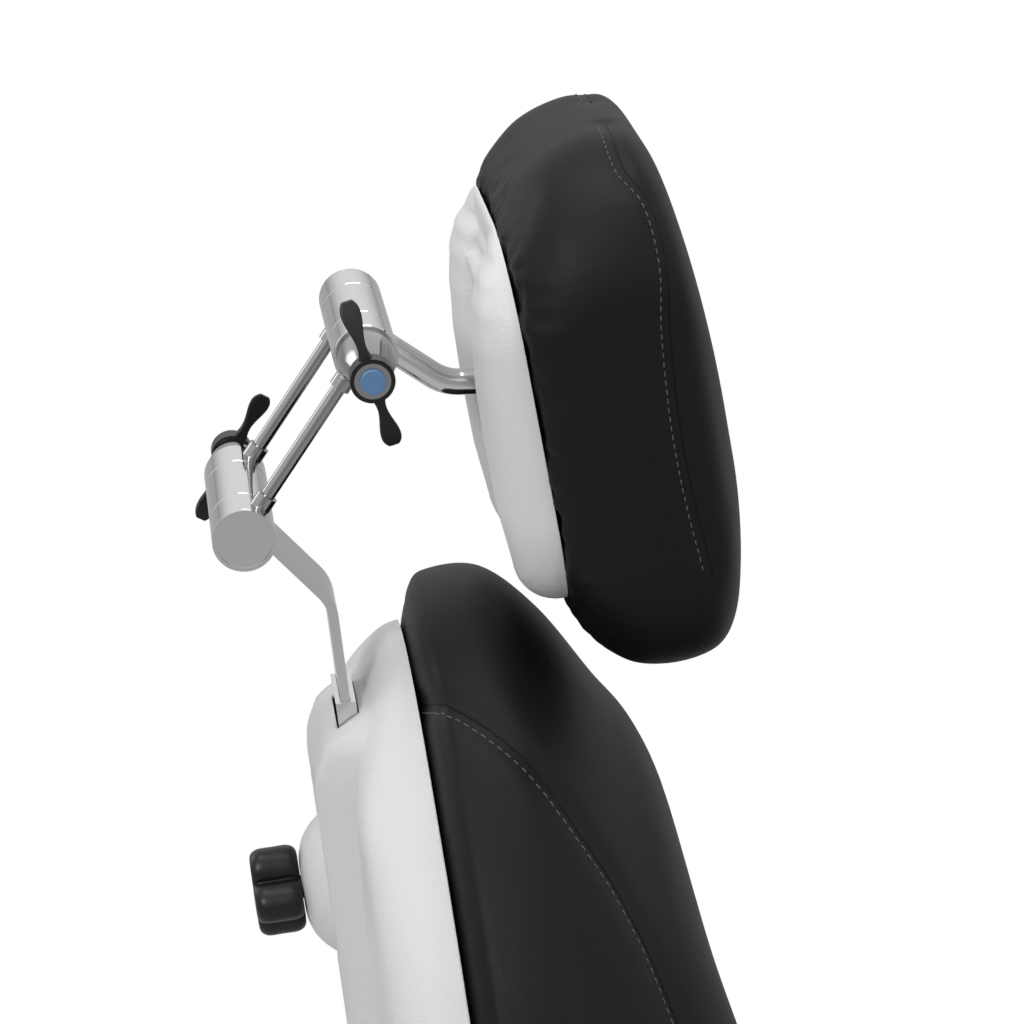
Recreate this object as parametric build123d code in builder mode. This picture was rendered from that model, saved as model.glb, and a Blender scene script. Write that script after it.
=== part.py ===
from build123d import *
from math import cos, radians, sin, sqrt
import os

# Procedure chair. +Z is up, X is across the chair and the sitter faces -Y.
# The origin lies on the floor under the centre of the lifting column.
# All sizes are in millimetres and all angles in degrees.

# General sizes
overrun = 20            # how far a cut runs past the material it cuts
run_fit = 0.05          # radial clearance of a turning fit
slide_fit = 0.2         # clearance on each side of a sliding fit
free_gap = 1.5          # gap between pieces that move past each other
sheet = 4               # wall of the moulded shells
plate = 8               # thickness of the steel side plates

# Base
base_width = 560
base_front = 420        # from the column centre to the front edge
base_rear = 360         # from the column centre to the rear edge
base_thick = 12
base_corner = 70
base_cover_height = 52
base_cover_inset = 12
anchor_place = 190      # anchor holes lie this far from the centre, both ways
anchor_hole = 12
cover_port = 22         # radius of the access hole over each anchor
cover_taper = 6
cover_round = 16

# Lifting column
column_width = 190
column_depth = 170
column_wall = 4
column_step = 12        # each stage is this much smaller on every side
column_corner = 34
outer_top = 322
middle_top = 366
middle_base = 40        # height of its lower end at rest
inner_base = 66
collar_height = 14
collar_spigot = 40
column_foot_side = 250
column_foot_thick = 10
bolt_size = 10
foot_bolt_place = 107
bolt_head = 7
bolt_head_radius = 8
hex_sides = 6
motor_radius = 32
motor_height = 120
lift_tube_radius = 23
lift_tube_top = 340
lift_stage_radius = 18
lift_stage_base = 160
lift_stage_top = 380
lift_rod_radius = 14
lift_rod_base = 200

# Seat
seat_front = 372        # from the column centre to the front of the cushion
seat_rear = 126         # from the column centre to the rear of the cushion
seat_width = 520
seat_top = 602
seat_cushion_thick = 84
seat_corner = 60
tray_height = 56
tray_inset = 12
tray_draft = 34
rail_side = 34
rail_place = 130
tube_wall = 3
rail_front = 316
rail_rear = 72
rear_cross_y = 50
front_cross_y = -294
frame_plate_thick = 8
frame_plate_side = 240
flange_thick = 10
cross_side = 30
side_plate_place = 276  # inner face of each side plate
side_plate_half = 26
seat_bolt_place = 92

# Back hinge and side drives
hinge_y = 156
hinge_z = 546
shaft_radius = 10
bush_wall = 3
bush_flange = 5
lug_radius = 34
drive_radius = 48
drive_depth = 40
drive_dome = 8
drive_bore = 30

# Backrest, in a frame with u along the back and n square to it, to the rear
recline = 6.56
rim_ahead = 95          # from the hinge axis back to the rim plane of the shell
back_length = 680
hinge_below = 25        # from the lower edge of the shell down to the hinge
back_half = 265
back_foot_half = 245
crown_half = 110
crown_drop = 37
spring_drop = 349
back_corner = 45
pan_depth = 46
spine_depth = 66
spine_top_drop = 40
spine_bottom_lift = 90
spine_half_top = 62
spine_half_bottom = 80
spine_taper = 10
back_cushion_thick = 178
back_tube = 25
back_rail_place = 100
back_rail_set = 12.5    # tube centres behind the rim plane
back_lug_place = 160
back_lug_radius = 18
lug_set = 18
frame_lift = 52         # lower cross tube above the lower edge of the shell
back_cross_drops = (80, 190, 420)
boss_radius = 44
boss_height = 17
boss_neck = 14
knob_drop = 155

# Headrest bar and its guide
bar_width = 44
bar_thick = 6
bar_behind_rim = 41.5
bar_foot_drop = 300
guide_wall = 3
guide_top_drop = 50
guide_bottom_drop = 207
collar_top_drop = 26
clamp_nut_radius = 12
clamp_nut_height = 13
screw_radius = 5
knob_radius = 29
knob_thick = 20
knob_lobe = 9.5
knob_neck_radius = 12.7
knob_neck = 10
knob_lobes = 4
knob_round = 5

# Headrest joints
joint_behind_rim = 87.9
joint_above_rim = 100.7
barrel_radius = 19
barrel_length = 126
hub_share = 0.487       # middle segment as a share of the barrel
segment_gap = 0.4
link_length = 131.9
link_angle = 56.35      # above the horizontal, leaning to the front
rod_radius = 4.3
rod_place = 47
socket_radius = 6.4
socket_length = 8
clamp_bolt_radius = 5
cap_thick = 2.5
cap_rim = 2.2
bar_leave_angle = 47    # below the horizontal, to the front
bar_bend = 26
hub_hollow = 12         # the bar, the tube and the rods start this far from the barrel axis
edge_break = 0.6
socket_bury = 1.5

# Clamp levers
lever_hub_radius = 17
lever_nose_radius = 10.5
lever_hub_length = 30
lever_flow_share = 0.62
lever_nose_length = 17
lever_span = 45
lever_ring = 2.5
lever_ring_length = 12
lever_flange = 4
lever_thick = 7
lever_back_set = 10     # the wing tips lie this much nearer the barrel
lever_cap_radius = 7.3
lever_cap_thick = 3
upper_lever_turn = 17
lower_lever_turn = -28

# Headrest, in its own frame
head_tilt = 10.4
head_half = 125
head_top = 126
head_bottom = 203
head_thick = 117
head_corner = 84
head_shell_half = 106
head_shell_top = 84
head_shell_bottom = 150
head_shell_corner = 70
head_shell_depth = 35
head_top_depth = 8       # depth of the shell at its upper edge
head_slope_foot = 20     # its slope ends this far below the origin
head_channel_half = 30
head_channel_depth = 22
head_plate_half = 40
head_plate_height = 120
head_plate_thick = 4
tube_radius = 8
tube_leave_angle = 35
tube_drop = 36
tube_bend = 30
head_ahead = 91.9       # from the upper joint forward to the rim plane
head_below = 9.8

# Cushion outlines, as shares of the thickness
corner_keep_share = 0.6
arm_corner_share = 0.42
arm_knee_share = 0.35
arm_bar_share = 0.8
arm_tip_share = 0.4
pin_head_share = 0.75
arm_draw_share = 0.28
tray_shares = ((0, 0), (0.5, 0.3), (1, 1))
pad_level_shares = (0, 0.16, 0.5, 0.8, 0.93, 1)
pad_inset_shares = (0.1, 0, -0.04, 0.08, 0.42, 1.05)
top_inset_share = 0.55
back_cushion_shares = (
    (0, -0.004, 0.974, 0.012),
    (0.1, 0.045, 1.03, 0.003),
    (0.31, 0.04, 1.053, 0),
    (0.49, -0.007, 1.045, 0.012),
    (0.65, -0.076, 0.996, 0.059),
    (0.775, -0.131, 0.906, 0.118),
    (0.9, -0.235, 0.736, 0.206),
    (0.99, -0.404, 0.36, 0.353),
)

head_cushion_shares = (
    (0, 0.88, 0.98, 0.02),
    (0.15, 0.98, 1, 0),
    (0.45, 1, 1, 0),
    (0.72, 0.97, 0.985, 0.01),
    (0.87, 0.85, 0.92, 0.05),
    (0.96, 0.62, 0.78, 0.14),
    (1, 0.34, 0.55, 0.28),
)
head_pan_levels = ((0, 0), (head_shell_depth * 0.4, 3), (head_shell_depth * 0.8, 12), (head_shell_depth, 34))
wing_shares = (
    (0.2, 0.13, 1),
    (0.42, 0.06, 0.75),
    (0.72, 0.115, 0.6),
    (0.92, 0.12, 0.5),
    (1, 0.07, 0.4),
)
wing_round_share = 0.16

# Leg rest, hanging at rest
leg_hang = 14           # degrees from the vertical
leg_hinge_y = -405
leg_hinge_z = 546
leg_length = 400
leg_half = 225
leg_corner = 60
leg_ahead = 48          # cushion surface in front of the hinge axis
leg_start = 30          # from the hinge axis to the top of the cushion
leg_rim = 26            # rear face of the cushion behind the hinge axis
leg_shell_depth = 36
leg_shell_start = 78
leg_shell_inset = 20
leg_rail_place = 110
leg_tube = 25
leg_cross_drops = (125, 340)
leg_lug_place = 236
foot_bar_start = 230
foot_clear = 20
foot_half = 190
foot_depth = 170
foot_thick = 8
foot_corner = 30
foot_pad_depth = 120
foot_pad_thick = 10
foot_round_share = 0.4

leg_pan_shares = ((0, 0), (0.5, 0.08), (0.85, 0.3), (1, 0.6))

# Armrests
arm_post_y = 10
arm_post_wide = 40
arm_post_thick = 16
arm_post_top = 708
arm_pivot_radius = 8
arm_hub_radius = 20
arm_length = 400
arm_pad_width = 86
arm_pad_thick = 42
arm_pad_edge = 2
arm_hub_length = 30
arm_bar_height = 26

# Control box
box_width = 150
box_depth = 62
box_height = 190
box_floor = 84
box_corner = 12
inlet_width = 30
inlet_height = 24
inlet_pin_share = 0.17
inlet_depth = 22
inlet_wall = 3
inlet_pin = 2
unit_width = 38
unit_height = 60
unit_place = 46
rocker_width = 14
rocker_height = 22
rocker_depth = 12
rocker_lift = 3
rocker_axle = 1.5

os.makedirs("parts", exist_ok=True)


def save(part, name):
    """Label one finished piece and write its STEP file."""
    part.label = name
    export_step(part, f"parts/{name}.step")


def up_axis(tilt):
    return Vector(0, sin(radians(tilt)), cos(radians(tilt)))


def rear_axis(tilt):
    return Vector(0, cos(radians(tilt)), -sin(radians(tilt)))


def face_plane(origin, tilt, n):
    """Sketch axes are X and up the piece; it looks to the front."""
    return Plane(origin=origin + rear_axis(tilt) * n, x_dir=(1, 0, 0), z_dir=rear_axis(tilt) * -1)


def side_plane(origin, tilt, x):
    """Sketch axes are to the rear and up the piece; it looks along +X."""
    return Plane(origin=origin + Vector(x, 0, 0), x_dir=rear_axis(tilt), z_dir=(1, 0, 0))


def level_plane(origin, tilt, u):
    """Sketch axes are X and to the rear; it looks up the piece."""
    return Plane(origin=origin + up_axis(tilt) * u, x_dir=(1, 0, 0), z_dir=up_axis(tilt))


def corner_points(x, y, side, r):
    """Points of a quarter round at a lower corner; side is +1 on the right and -1 on the left."""
    shift = r * (1 - sqrt(0.5))
    return (side * x, y + r), (side * (x - shift), y + shift), (side * (x - r), y)


def shield(plane, top, half, foot_half, bottom, corner):
    """Outline of the back: crown arc, two shoulder arcs, straight sides, round lower corners."""
    width_share = half / back_half
    crown_x = crown_half * width_share
    crown_y = top - crown_drop * width_share
    spring = top - spring_drop * width_share
    with BuildSketch(plane) as outline:
        with BuildLine():
            crown = ThreePointArc((-crown_x, crown_y), (0, top), (crown_x, crown_y))
            for side, end, way in ((1, crown @ 1, crown % 1), (-1, crown @ 0, (crown % 0) * -1)):
                shoulder = TangentArc(end, (side * half, spring), tangent=way)
                Line(shoulder @ 1, (side * foot_half, bottom + corner))
                ThreePointArc(*corner_points(foot_half, bottom, side, corner))
            Line((-(foot_half - corner), bottom), (foot_half - corner, bottom))
        make_face()
    return outline.sketch


def rounded(plane, centre, width, length, corner):
    """Rounded rectangle on a plane."""
    with BuildSketch(plane) as outline:
        with Locations(centre):
            RectangleRounded(width, length, corner)
    return outline.sketch


# Reference points
hinge = Vector(0, hinge_y, hinge_z)
rim_top = back_length + hinge_below
low_joint = (
    hinge + rear_axis(recline) * (rim_ahead + joint_behind_rim) + up_axis(recline) * (rim_top + joint_above_rim)
)
link_way = Vector(0, -cos(radians(link_angle)), sin(radians(link_angle)))
top_joint = low_joint + link_way * link_length
hub_length = barrel_length * hub_share
end_length = (barrel_length - hub_length) / 2 - segment_gap
tray_top = seat_top - seat_cushion_thick
tray_floor = tray_top - tray_height
frame_base = tray_floor + sheet
flange_top = frame_base - frame_plate_thick
seat_length = seat_front + seat_rear
seat_centre_y = (seat_rear - seat_front) / 2
head_origin = top_joint + Vector(0, -head_ahead, -head_below)
leg_hinge = Vector(0, leg_hinge_y, leg_hinge_z)


def stage_size(stage, inset=0):
    """Width, depth and corner radius of a column stage, drawn in by an inset."""
    less = column_step * stage + inset
    return column_width - 2 * less, column_depth - 2 * less, column_corner - less


# Base plate with its anchor holes
base_length = base_front + base_rear
base_centre_y = (base_rear - base_front) / 2
with BuildPart() as base_plate:
    with BuildSketch(Plane.XY):
        with Locations((0, base_centre_y)):
            RectangleRounded(base_width, base_length, base_corner)
        with GridLocations(2 * anchor_place, 2 * anchor_place, 2, 2):
            Circle(anchor_hole / 2, mode=Mode.SUBTRACT)
        with GridLocations(2 * foot_bolt_place, 2 * foot_bolt_place, 2, 2):
            Circle(bolt_size / 2 + run_fit, mode=Mode.SUBTRACT)
    extrude(amount=base_thick)
save(base_plate.part, "base_plate")

# Moulded cover over the base plate, open below, with ports over the anchors
cover_width = base_width - 2 * base_cover_inset
cover_length = base_length - 2 * base_cover_inset
with BuildPart() as base_cover:
    with BuildSketch(Plane.XY.offset(base_thick)):
        with Locations((0, base_centre_y)):
            RectangleRounded(cover_width, cover_length, base_corner - base_cover_inset)
    extrude(amount=base_cover_height, taper=cover_taper)
    fillet(base_cover.edges().group_by(Axis.Z)[-1], radius=cover_round)
    offset(amount=-sheet, openings=base_cover.faces().sort_by(Axis.Z)[0])
    with BuildSketch(Plane.XY.offset(base_thick)):
        Rectangle(column_width + 2 * free_gap, column_depth + 2 * free_gap)
        with GridLocations(2 * anchor_place, 2 * anchor_place, 2, 2):
            Circle(cover_port)
    extrude(amount=base_cover_height + overrun, mode=Mode.SUBTRACT)
save(base_cover.part, "base_cover")

# Outer column stage with its foot flange
with BuildPart() as column_outer:
    with BuildSketch(Plane.XY.offset(base_thick)):
        RectangleRounded(column_foot_side, column_foot_side, column_corner)
        with GridLocations(2 * foot_bolt_place, 2 * foot_bolt_place, 2, 2):
            Circle(bolt_size / 2 + run_fit, mode=Mode.SUBTRACT)
    extrude(amount=column_foot_thick)
    with BuildSketch(Plane.XY.offset(base_thick)):
        RectangleRounded(*stage_size(0))
    extrude(amount=outer_top - base_thick)
    with BuildSketch(Plane.XY.offset(base_thick)):
        RectangleRounded(*stage_size(0, column_wall))
    extrude(amount=outer_top, mode=Mode.SUBTRACT)
save(column_outer.part, "column_outer")

# Middle column stage
with BuildPart() as column_middle:
    with BuildSketch(Plane.XY.offset(middle_base)):
        RectangleRounded(*stage_size(1))
        RectangleRounded(*stage_size(1, column_wall), mode=Mode.SUBTRACT)
    extrude(amount=middle_top - middle_base)
save(column_middle.part, "column_middle")

# Slide collars: a ring on top of each stage with a spigot inside it
for stage, top, name in ((0, outer_top, "collar_lower"), (1, middle_top, "collar_upper")):
    with BuildPart() as collar:
        with BuildSketch(Plane.XY.offset(top)):
            RectangleRounded(*stage_size(stage))
        extrude(amount=collar_height)
        with BuildSketch(Plane.XY.offset(top)):
            RectangleRounded(*stage_size(stage, column_wall + slide_fit))
        extrude(amount=-collar_spigot)
        with BuildSketch(Plane.XY.offset(top - collar_spigot)):
            RectangleRounded(*stage_size(stage + 1, -slide_fit))
        extrude(amount=collar_height + collar_spigot, mode=Mode.SUBTRACT)
    save(collar.part, name)

# Inner column stage with the flange that carries the seat
with BuildPart() as column_inner:
    with BuildSketch(Plane.XY.offset(inner_base)):
        RectangleRounded(*stage_size(2))
        RectangleRounded(*stage_size(2, column_wall), mode=Mode.SUBTRACT)
    extrude(amount=flange_top - inner_base)
    with BuildSketch(Plane.XY.offset(flange_top - flange_thick)):
        RectangleRounded(frame_plate_side, frame_plate_side, column_corner)
        with GridLocations(2 * seat_bolt_place, 2 * seat_bolt_place, 2, 2):
            Circle(bolt_size / 2 + run_fit, mode=Mode.SUBTRACT)
    extrude(amount=flange_thick)
save(column_inner.part, "column_inner")


def bolt_set(place, base, grip, name, below=0):
    """Four round-shanked bolts with round heads on top, one solid each."""
    with BuildPart() as bolts:
        with BuildSketch(Plane.XY.offset(base - below)):
            with GridLocations(2 * place, 2 * place, 2, 2):
                Circle(bolt_size / 2)
        extrude(amount=grip + below)
        with BuildSketch(Plane.XY.offset(base + grip)):
            with GridLocations(2 * place, 2 * place, 2, 2):
                RegularPolygon(bolt_head_radius, hex_sides)
        extrude(amount=bolt_head)
    save(bolts.part, name)


bolt_set(foot_bolt_place, 0, base_thick + column_foot_thick, "foot_bolts")
bolt_set(seat_bolt_place, flange_top - flange_thick, flange_thick + frame_plate_thick, "seat_bolts")

# Lift drive: motor and guide tube on the base, a middle stage and the lifting rod
with BuildPart() as lift_motor:
    with BuildSketch(Plane.XY.offset(base_thick)):
        Circle(motor_radius)
    extrude(amount=motor_height)
    with BuildSketch(Plane.XY.offset(base_thick + motor_height)):
        Circle(lift_tube_radius)
        Circle(lift_stage_radius + run_fit, mode=Mode.SUBTRACT)
    extrude(amount=lift_tube_top - base_thick - motor_height)
save(lift_motor.part, "lift_motor")

with BuildPart() as lift_stage:
    with BuildSketch(Plane.XY.offset(lift_stage_base)):
        Circle(lift_stage_radius)
        Circle(lift_rod_radius + run_fit, mode=Mode.SUBTRACT)
    extrude(amount=lift_stage_top - lift_stage_base)
save(lift_stage.part, "lift_stage")

with BuildPart() as lift_rod:
    with BuildSketch(Plane.XY.offset(lift_rod_base)):
        Circle(lift_rod_radius)
    extrude(amount=flange_top - flange_thick - lift_rod_base)
save(lift_rod.part, "lift_rod")

# Seat frame: two rails, two cross tubes that reach the side plates, and a mounting plate
rail_centre_z = frame_base + rail_side / 2
rail_length = rail_front + rail_rear
with BuildPart() as seat_frame:
    with BuildSketch(Plane.XY.offset(flange_top)):
        Rectangle(frame_plate_side + 2 * rail_side, frame_plate_side)
        with GridLocations(2 * seat_bolt_place, 2 * seat_bolt_place, 2, 2):
            Circle(bolt_size / 2 + run_fit, mode=Mode.SUBTRACT)
    extrude(amount=frame_plate_thick)
    with BuildSketch(Plane.XZ.offset(rail_front)):
        with GridLocations(2 * rail_place, 0, 2, 1):
            with Locations((0, rail_centre_z)):
                Rectangle(rail_side, rail_side)
    extrude(amount=-rail_length)
    with BuildSketch(Plane.YZ.offset(-side_plate_place)):
        with Locations((rear_cross_y, rail_centre_z), (front_cross_y, rail_centre_z)):
            Rectangle(cross_side, cross_side)
    extrude(amount=2 * side_plate_place)
    with BuildSketch(Plane.XZ.offset(rail_front)):
        with GridLocations(2 * rail_place, 0, 2, 1):
            with Locations((0, rail_centre_z)):
                Rectangle(rail_side - 2 * tube_wall, rail_side - 2 * tube_wall)
    extrude(amount=-rail_length, mode=Mode.SUBTRACT)
    with BuildSketch(Plane.YZ.offset(-side_plate_place)):
        with Locations((rear_cross_y, rail_centre_z), (front_cross_y, rail_centre_z)):
            Rectangle(cross_side - 2 * tube_wall, cross_side - 2 * tube_wall)
    extrude(amount=2 * side_plate_place, mode=Mode.SUBTRACT)
save(seat_frame.part, "seat_frame")


def bar_hull(start, start_radius, end, end_radius):
    """Filled slot between two circles of a plate outline."""
    with BuildSketch() as slot:
        with Locations(start):
            Circle(start_radius)
        with Locations(end):
            Circle(end_radius)
        make_hull()
    return slot.sketch


# Side plates: a long plate on each side with an ear at each hinge
rear_ear = (hinge_y, hinge_z)
front_ear = (leg_hinge_y, leg_hinge_z)
rear_low = (rear_cross_y, rail_centre_z)
front_low = (front_cross_y, rail_centre_z)
with BuildPart() as side_plates:
    for side in (-1, 1):
        with BuildSketch(Plane.YZ.offset(side * side_plate_place)):
            add(bar_hull(rear_ear, lug_radius, rear_low, side_plate_half))
            add(bar_hull(rear_low, side_plate_half, front_low, side_plate_half))
            add(bar_hull(front_low, side_plate_half, front_ear, lug_radius))
            with Locations(rear_ear, front_ear):
                Circle(shaft_radius + bush_wall, mode=Mode.SUBTRACT)
        extrude(amount=side * plate)
save(side_plates.part, "side_plates")

# Plain bushes in the four ears, one solid each
with BuildPart() as hinge_bushes:
    for side in (-1, 1):
        with BuildSketch(Plane.YZ.offset(side * side_plate_place)):
            with Locations(rear_ear, front_ear):
                Circle(shaft_radius + bush_wall)
                Circle(shaft_radius + run_fit, mode=Mode.SUBTRACT)
        extrude(amount=side * plate)
        with BuildSketch(Plane.YZ.offset(side * side_plate_place)):
            with Locations(rear_ear, front_ear):
                Circle(shaft_radius + bush_wall + bush_flange)
                Circle(shaft_radius + run_fit, mode=Mode.SUBTRACT)
        extrude(amount=-side * bush_wall)
save(hinge_bushes.part, "hinge_bushes")

# Hinge drives: round gear motors outside the side plates
with BuildPart() as hinge_drives:
    for side in (-1, 1):
        face_x = side * (side_plate_place + plate)
        with BuildSketch(Plane.YZ.offset(face_x)):
            with Locations(rear_ear, front_ear):
                Circle(drive_radius)
        extrude(amount=side * drive_depth)
        outer = hinge_drives.edges().filter_by(GeomType.CIRCLE).group_by(Axis.X)[-1 if side > 0 else 0]
        fillet(outer, radius=drive_dome)
        with BuildSketch(Plane.YZ.offset(face_x)):
            with Locations(rear_ear, front_ear):
                Circle(shaft_radius + run_fit)
        extrude(amount=side * drive_bore, mode=Mode.SUBTRACT)
save(hinge_drives.part, "hinge_drives")

# Hinge shafts: they reach into the drives on both sides
shaft_half = side_plate_place + plate + drive_bore - free_gap
for name, ear in (("back_shaft", rear_ear), ("leg_shaft", front_ear)):
    with BuildPart() as shaft:
        with BuildSketch(Plane.YZ.offset(-shaft_half)):
            with Locations(ear):
                Circle(shaft_radius)
        extrude(amount=2 * shaft_half)
    save(shaft.part, name)

# Seat tray: a drawn-in moulded pan, open above, with ports for the frame
seat_tray_width = seat_width - 2 * tray_inset
seat_tray_length = seat_length - 2 * tray_inset


def tray_sections(inset, floor):
    """Outlines of the seat tray from its rim down to its floor."""
    return [
        rounded(
            Plane.XY.offset(max(tray_top - tray_height * drop_share, tray_floor + floor)),
            (0, seat_centre_y),
            seat_tray_width - 2 * (tray_draft * draft_share + inset),
            seat_tray_length - 2 * (tray_draft * draft_share + inset),
            seat_corner - tray_draft * draft_share - inset,
        )
        for drop_share, draft_share in tray_shares
    ]


with BuildPart() as seat_tray:
    loft(tray_sections(0, 0))
    loft(tray_sections(sheet, sheet), mode=Mode.SUBTRACT)
    with BuildSketch(Plane.XY.offset(tray_floor - overrun)):
        Rectangle(frame_plate_side + 2 * rail_side + 2 * free_gap, frame_plate_side + 2 * free_gap)
    extrude(amount=2 * overrun, mode=Mode.SUBTRACT)
    with BuildSketch(Plane.YZ.offset(-side_plate_place)):
        with Locations((rear_cross_y, rail_centre_z), (front_cross_y, rail_centre_z)):
            Rectangle(cross_side + 2 * free_gap, cross_side + 2 * free_gap)
    extrude(amount=2 * side_plate_place, mode=Mode.SUBTRACT)
save(seat_tray.part, "seat_tray")


def pad_sections(plane_at, centre, width, length, corner, thick, draw):
    """Sections of a cushion: rounded outlines drawn in at the base and again up to the crown."""
    return [
        rounded(
            plane_at(thick * level_share),
            centre,
            width - 2 * draw * inset_share,
            length - 2 * draw * inset_share,
            corner - corner * inset_share * corner_keep_share,
        )
        for level_share, inset_share in zip(pad_level_shares, pad_inset_shares)
    ]


# Seat cushion: drawn in at the tray, full at half height, crowned on top
with BuildPart() as seat_cushion:
    loft(
        pad_sections(
            lambda rise: Plane.XY.offset(tray_top + rise),
            (0, seat_centre_y),
            seat_width,
            seat_length,
            seat_corner,
            seat_cushion_thick,
            seat_cushion_thick,
        )
    )
save(seat_cushion.part, "seat_cushion")


def back_face(n):
    """Plane square to the back, n behind the rim plane of its shell."""
    return face_plane(hinge, recline, rim_ahead + n)


def back_side(x):
    return side_plane(hinge, recline, x)


def back_level(u):
    return level_plane(hinge, recline, u)


# Back shell: a domed pan with a raised spine, a knob boss and a notch for the collar
rim_foot = hinge_below
pan_levels = ((0, 0), (pan_depth * 0.45, 6), (pan_depth * 0.8, 20), (pan_depth, 52))
spine_top = rim_top - spine_top_drop
spine_foot = rim_foot + spine_bottom_lift
knob_u = rim_top - knob_drop
knob_point = hinge + rear_axis(recline) * rim_ahead + up_axis(recline) * knob_u
guide_n = rim_ahead + bar_behind_rim
guide_thick = bar_thick + 2 * slide_fit + 2 * guide_wall
guide_width = bar_width + 2 * slide_fit + 2 * guide_wall


def pan_sections(inset, floor):
    """Outlines of the back shell pan; its cavity is the same, drawn in and made shallower."""
    return [
        shield(
            back_face(n - floor if n else 0),
            rim_top - (less * top_inset_share + inset),
            back_half - less - inset,
            back_foot_half - less - inset,
            rim_foot + less + inset,
            back_corner,
        )
        for n, less in pan_levels
    ]


def spine_sections(inset, floor):
    """Outlines of the raised spine, narrower towards its rear face."""
    sections = []
    for n, taper in ((pan_depth - 2 * sheet, 0), (spine_depth - floor, spine_taper)):
        less = taper + inset
        with BuildSketch(back_face(n)) as outline:
            with BuildLine():
                Polyline(
                    (-spine_half_top + less, spine_top - less),
                    (spine_half_top - less, spine_top - less),
                    (spine_half_bottom - less, spine_foot + less),
                    (-spine_half_bottom + less, spine_foot + less),
                    close=True,
                )
            make_face()
        sections.append(outline.sketch)
    return sections


knob_axis = Axis(knob_point, rear_axis(recline))
boss_foot = rim_ahead + spine_depth - sheet / 2
boss_rise = boss_height + sheet / 2
boss_mid_rise_share = 0.64
boss_mid_reach_share = 0.53
with BuildPart() as back_shell:
    loft(pan_sections(0, 0))
    loft(spine_sections(0, 0))
    with BuildSketch(back_side(0)):
        with BuildLine():
            Polyline(
                (boss_foot + boss_rise, knob_u + boss_neck), (boss_foot + boss_rise, knob_u), (boss_foot, knob_u)
            )
            Line((boss_foot, knob_u), (boss_foot, knob_u + boss_radius))
            ThreePointArc(
                (boss_foot, knob_u + boss_radius),
                (
                    boss_foot + boss_rise * boss_mid_rise_share,
                    knob_u + boss_neck + (boss_radius - boss_neck) * boss_mid_reach_share,
                ),
                (boss_foot + boss_rise, knob_u + boss_neck),
            )
        make_face()
    revolve(axis=knob_axis)
    loft(pan_sections(sheet, sheet), mode=Mode.SUBTRACT)
    loft(spine_sections(sheet, sheet), mode=Mode.SUBTRACT)
    with BuildSketch(back_face(-overrun)):
        with Locations((0, knob_u)):
            Circle(screw_radius + free_gap)
    extrude(amount=-(spine_depth + boss_height + 3 * overrun), mode=Mode.SUBTRACT)
    with BuildSketch(back_face(bar_behind_rim - guide_thick / 2 - free_gap)):
        with Locations((0, rim_top - guide_top_drop / 2 + overrun / 2)):
            Rectangle(guide_width + 2 * free_gap, guide_top_drop + overrun)
    extrude(amount=-spine_depth, mode=Mode.SUBTRACT)
    for side in (-1, 1):
        with BuildSketch(back_side(side * (back_lug_place - free_gap))):
            with Locations((rim_ahead + pan_depth / 2 - sheet / 2, rim_foot)):
                Rectangle(pan_depth - 2 * sheet, 2 * frame_lift)
        extrude(amount=side * (plate + 2 * free_gap), mode=Mode.SUBTRACT)
save(back_shell.part, "back_shell")

# Back cushion: outlines from the rim to the crown, as shares of thickness, length and half width
with BuildPart() as back_cushion:
    loft(
        [
            shield(
                back_face(-back_cushion_thick * thick_share),
                rim_top + back_length * top_share,
                back_half * half_share,
                back_foot_half * half_share,
                rim_foot + back_length * foot_share,
                back_corner,
            )
            for thick_share, top_share, half_share, foot_share in back_cushion_shares
        ]
    )
save(back_cushion.part, "back_cushion")

# Back frame: two posts, cross tubes, pads for the guide and cranked lugs round the hinge shaft
post_n = rim_ahead + back_rail_set
lug_low = (post_n + lug_set, -frame_lift / 2)
lug_high = (post_n, rim_foot + frame_lift)
frame_pieces = []
post_foot = rim_foot + frame_lift - back_tube / 2
inner_half = back_rail_place - back_tube / 2
outer_start = back_rail_place + back_tube / 2
post_run = rim_top - back_cross_drops[0] + back_tube / 2 - post_foot
tube_runs = [(back_level(post_foot), (x, post_n), post_run) for x in (-back_rail_place, back_rail_place)]
tube_runs += [(back_side(-inner_half), (post_n, rim_top - drop), 2 * inner_half) for drop in back_cross_drops]
tube_runs += [
    (back_side(x), lug_high, length)
    for x, length in (
        (-inner_half, 2 * inner_half),
        (outer_start, back_lug_place - outer_start),
        (-outer_start, outer_start - back_lug_place),
    )
]
for plane, spot, length in tube_runs:
    with BuildPart() as tube_run:
        with BuildSketch(plane):
            with Locations(spot):
                Rectangle(back_tube, back_tube)
        extrude(amount=length)
    frame_pieces.append(tube_run.part)
for drop in back_cross_drops[:2]:
    with BuildPart() as guide_pad:
        with BuildSketch(back_face(back_rail_set + back_tube / 2)):
            with Locations((0, rim_top - drop)):
                Rectangle(guide_width, back_tube)
        extrude(amount=-(bar_behind_rim - guide_thick / 2 - back_rail_set - back_tube / 2))
    frame_pieces.append(guide_pad.part)
for side in (-1, 1):
    with BuildPart() as lug:
        with BuildSketch(back_side(side * back_lug_place)):
            add(bar_hull((0, 0), back_lug_radius, lug_low, back_lug_radius))
            add(bar_hull(lug_low, back_lug_radius, lug_high, back_tube / 2))
            Circle(shaft_radius, mode=Mode.SUBTRACT)
        extrude(amount=side * plate)
    frame_pieces.append(lug.part)
save(Compound(children=frame_pieces), "back_frame")

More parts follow.
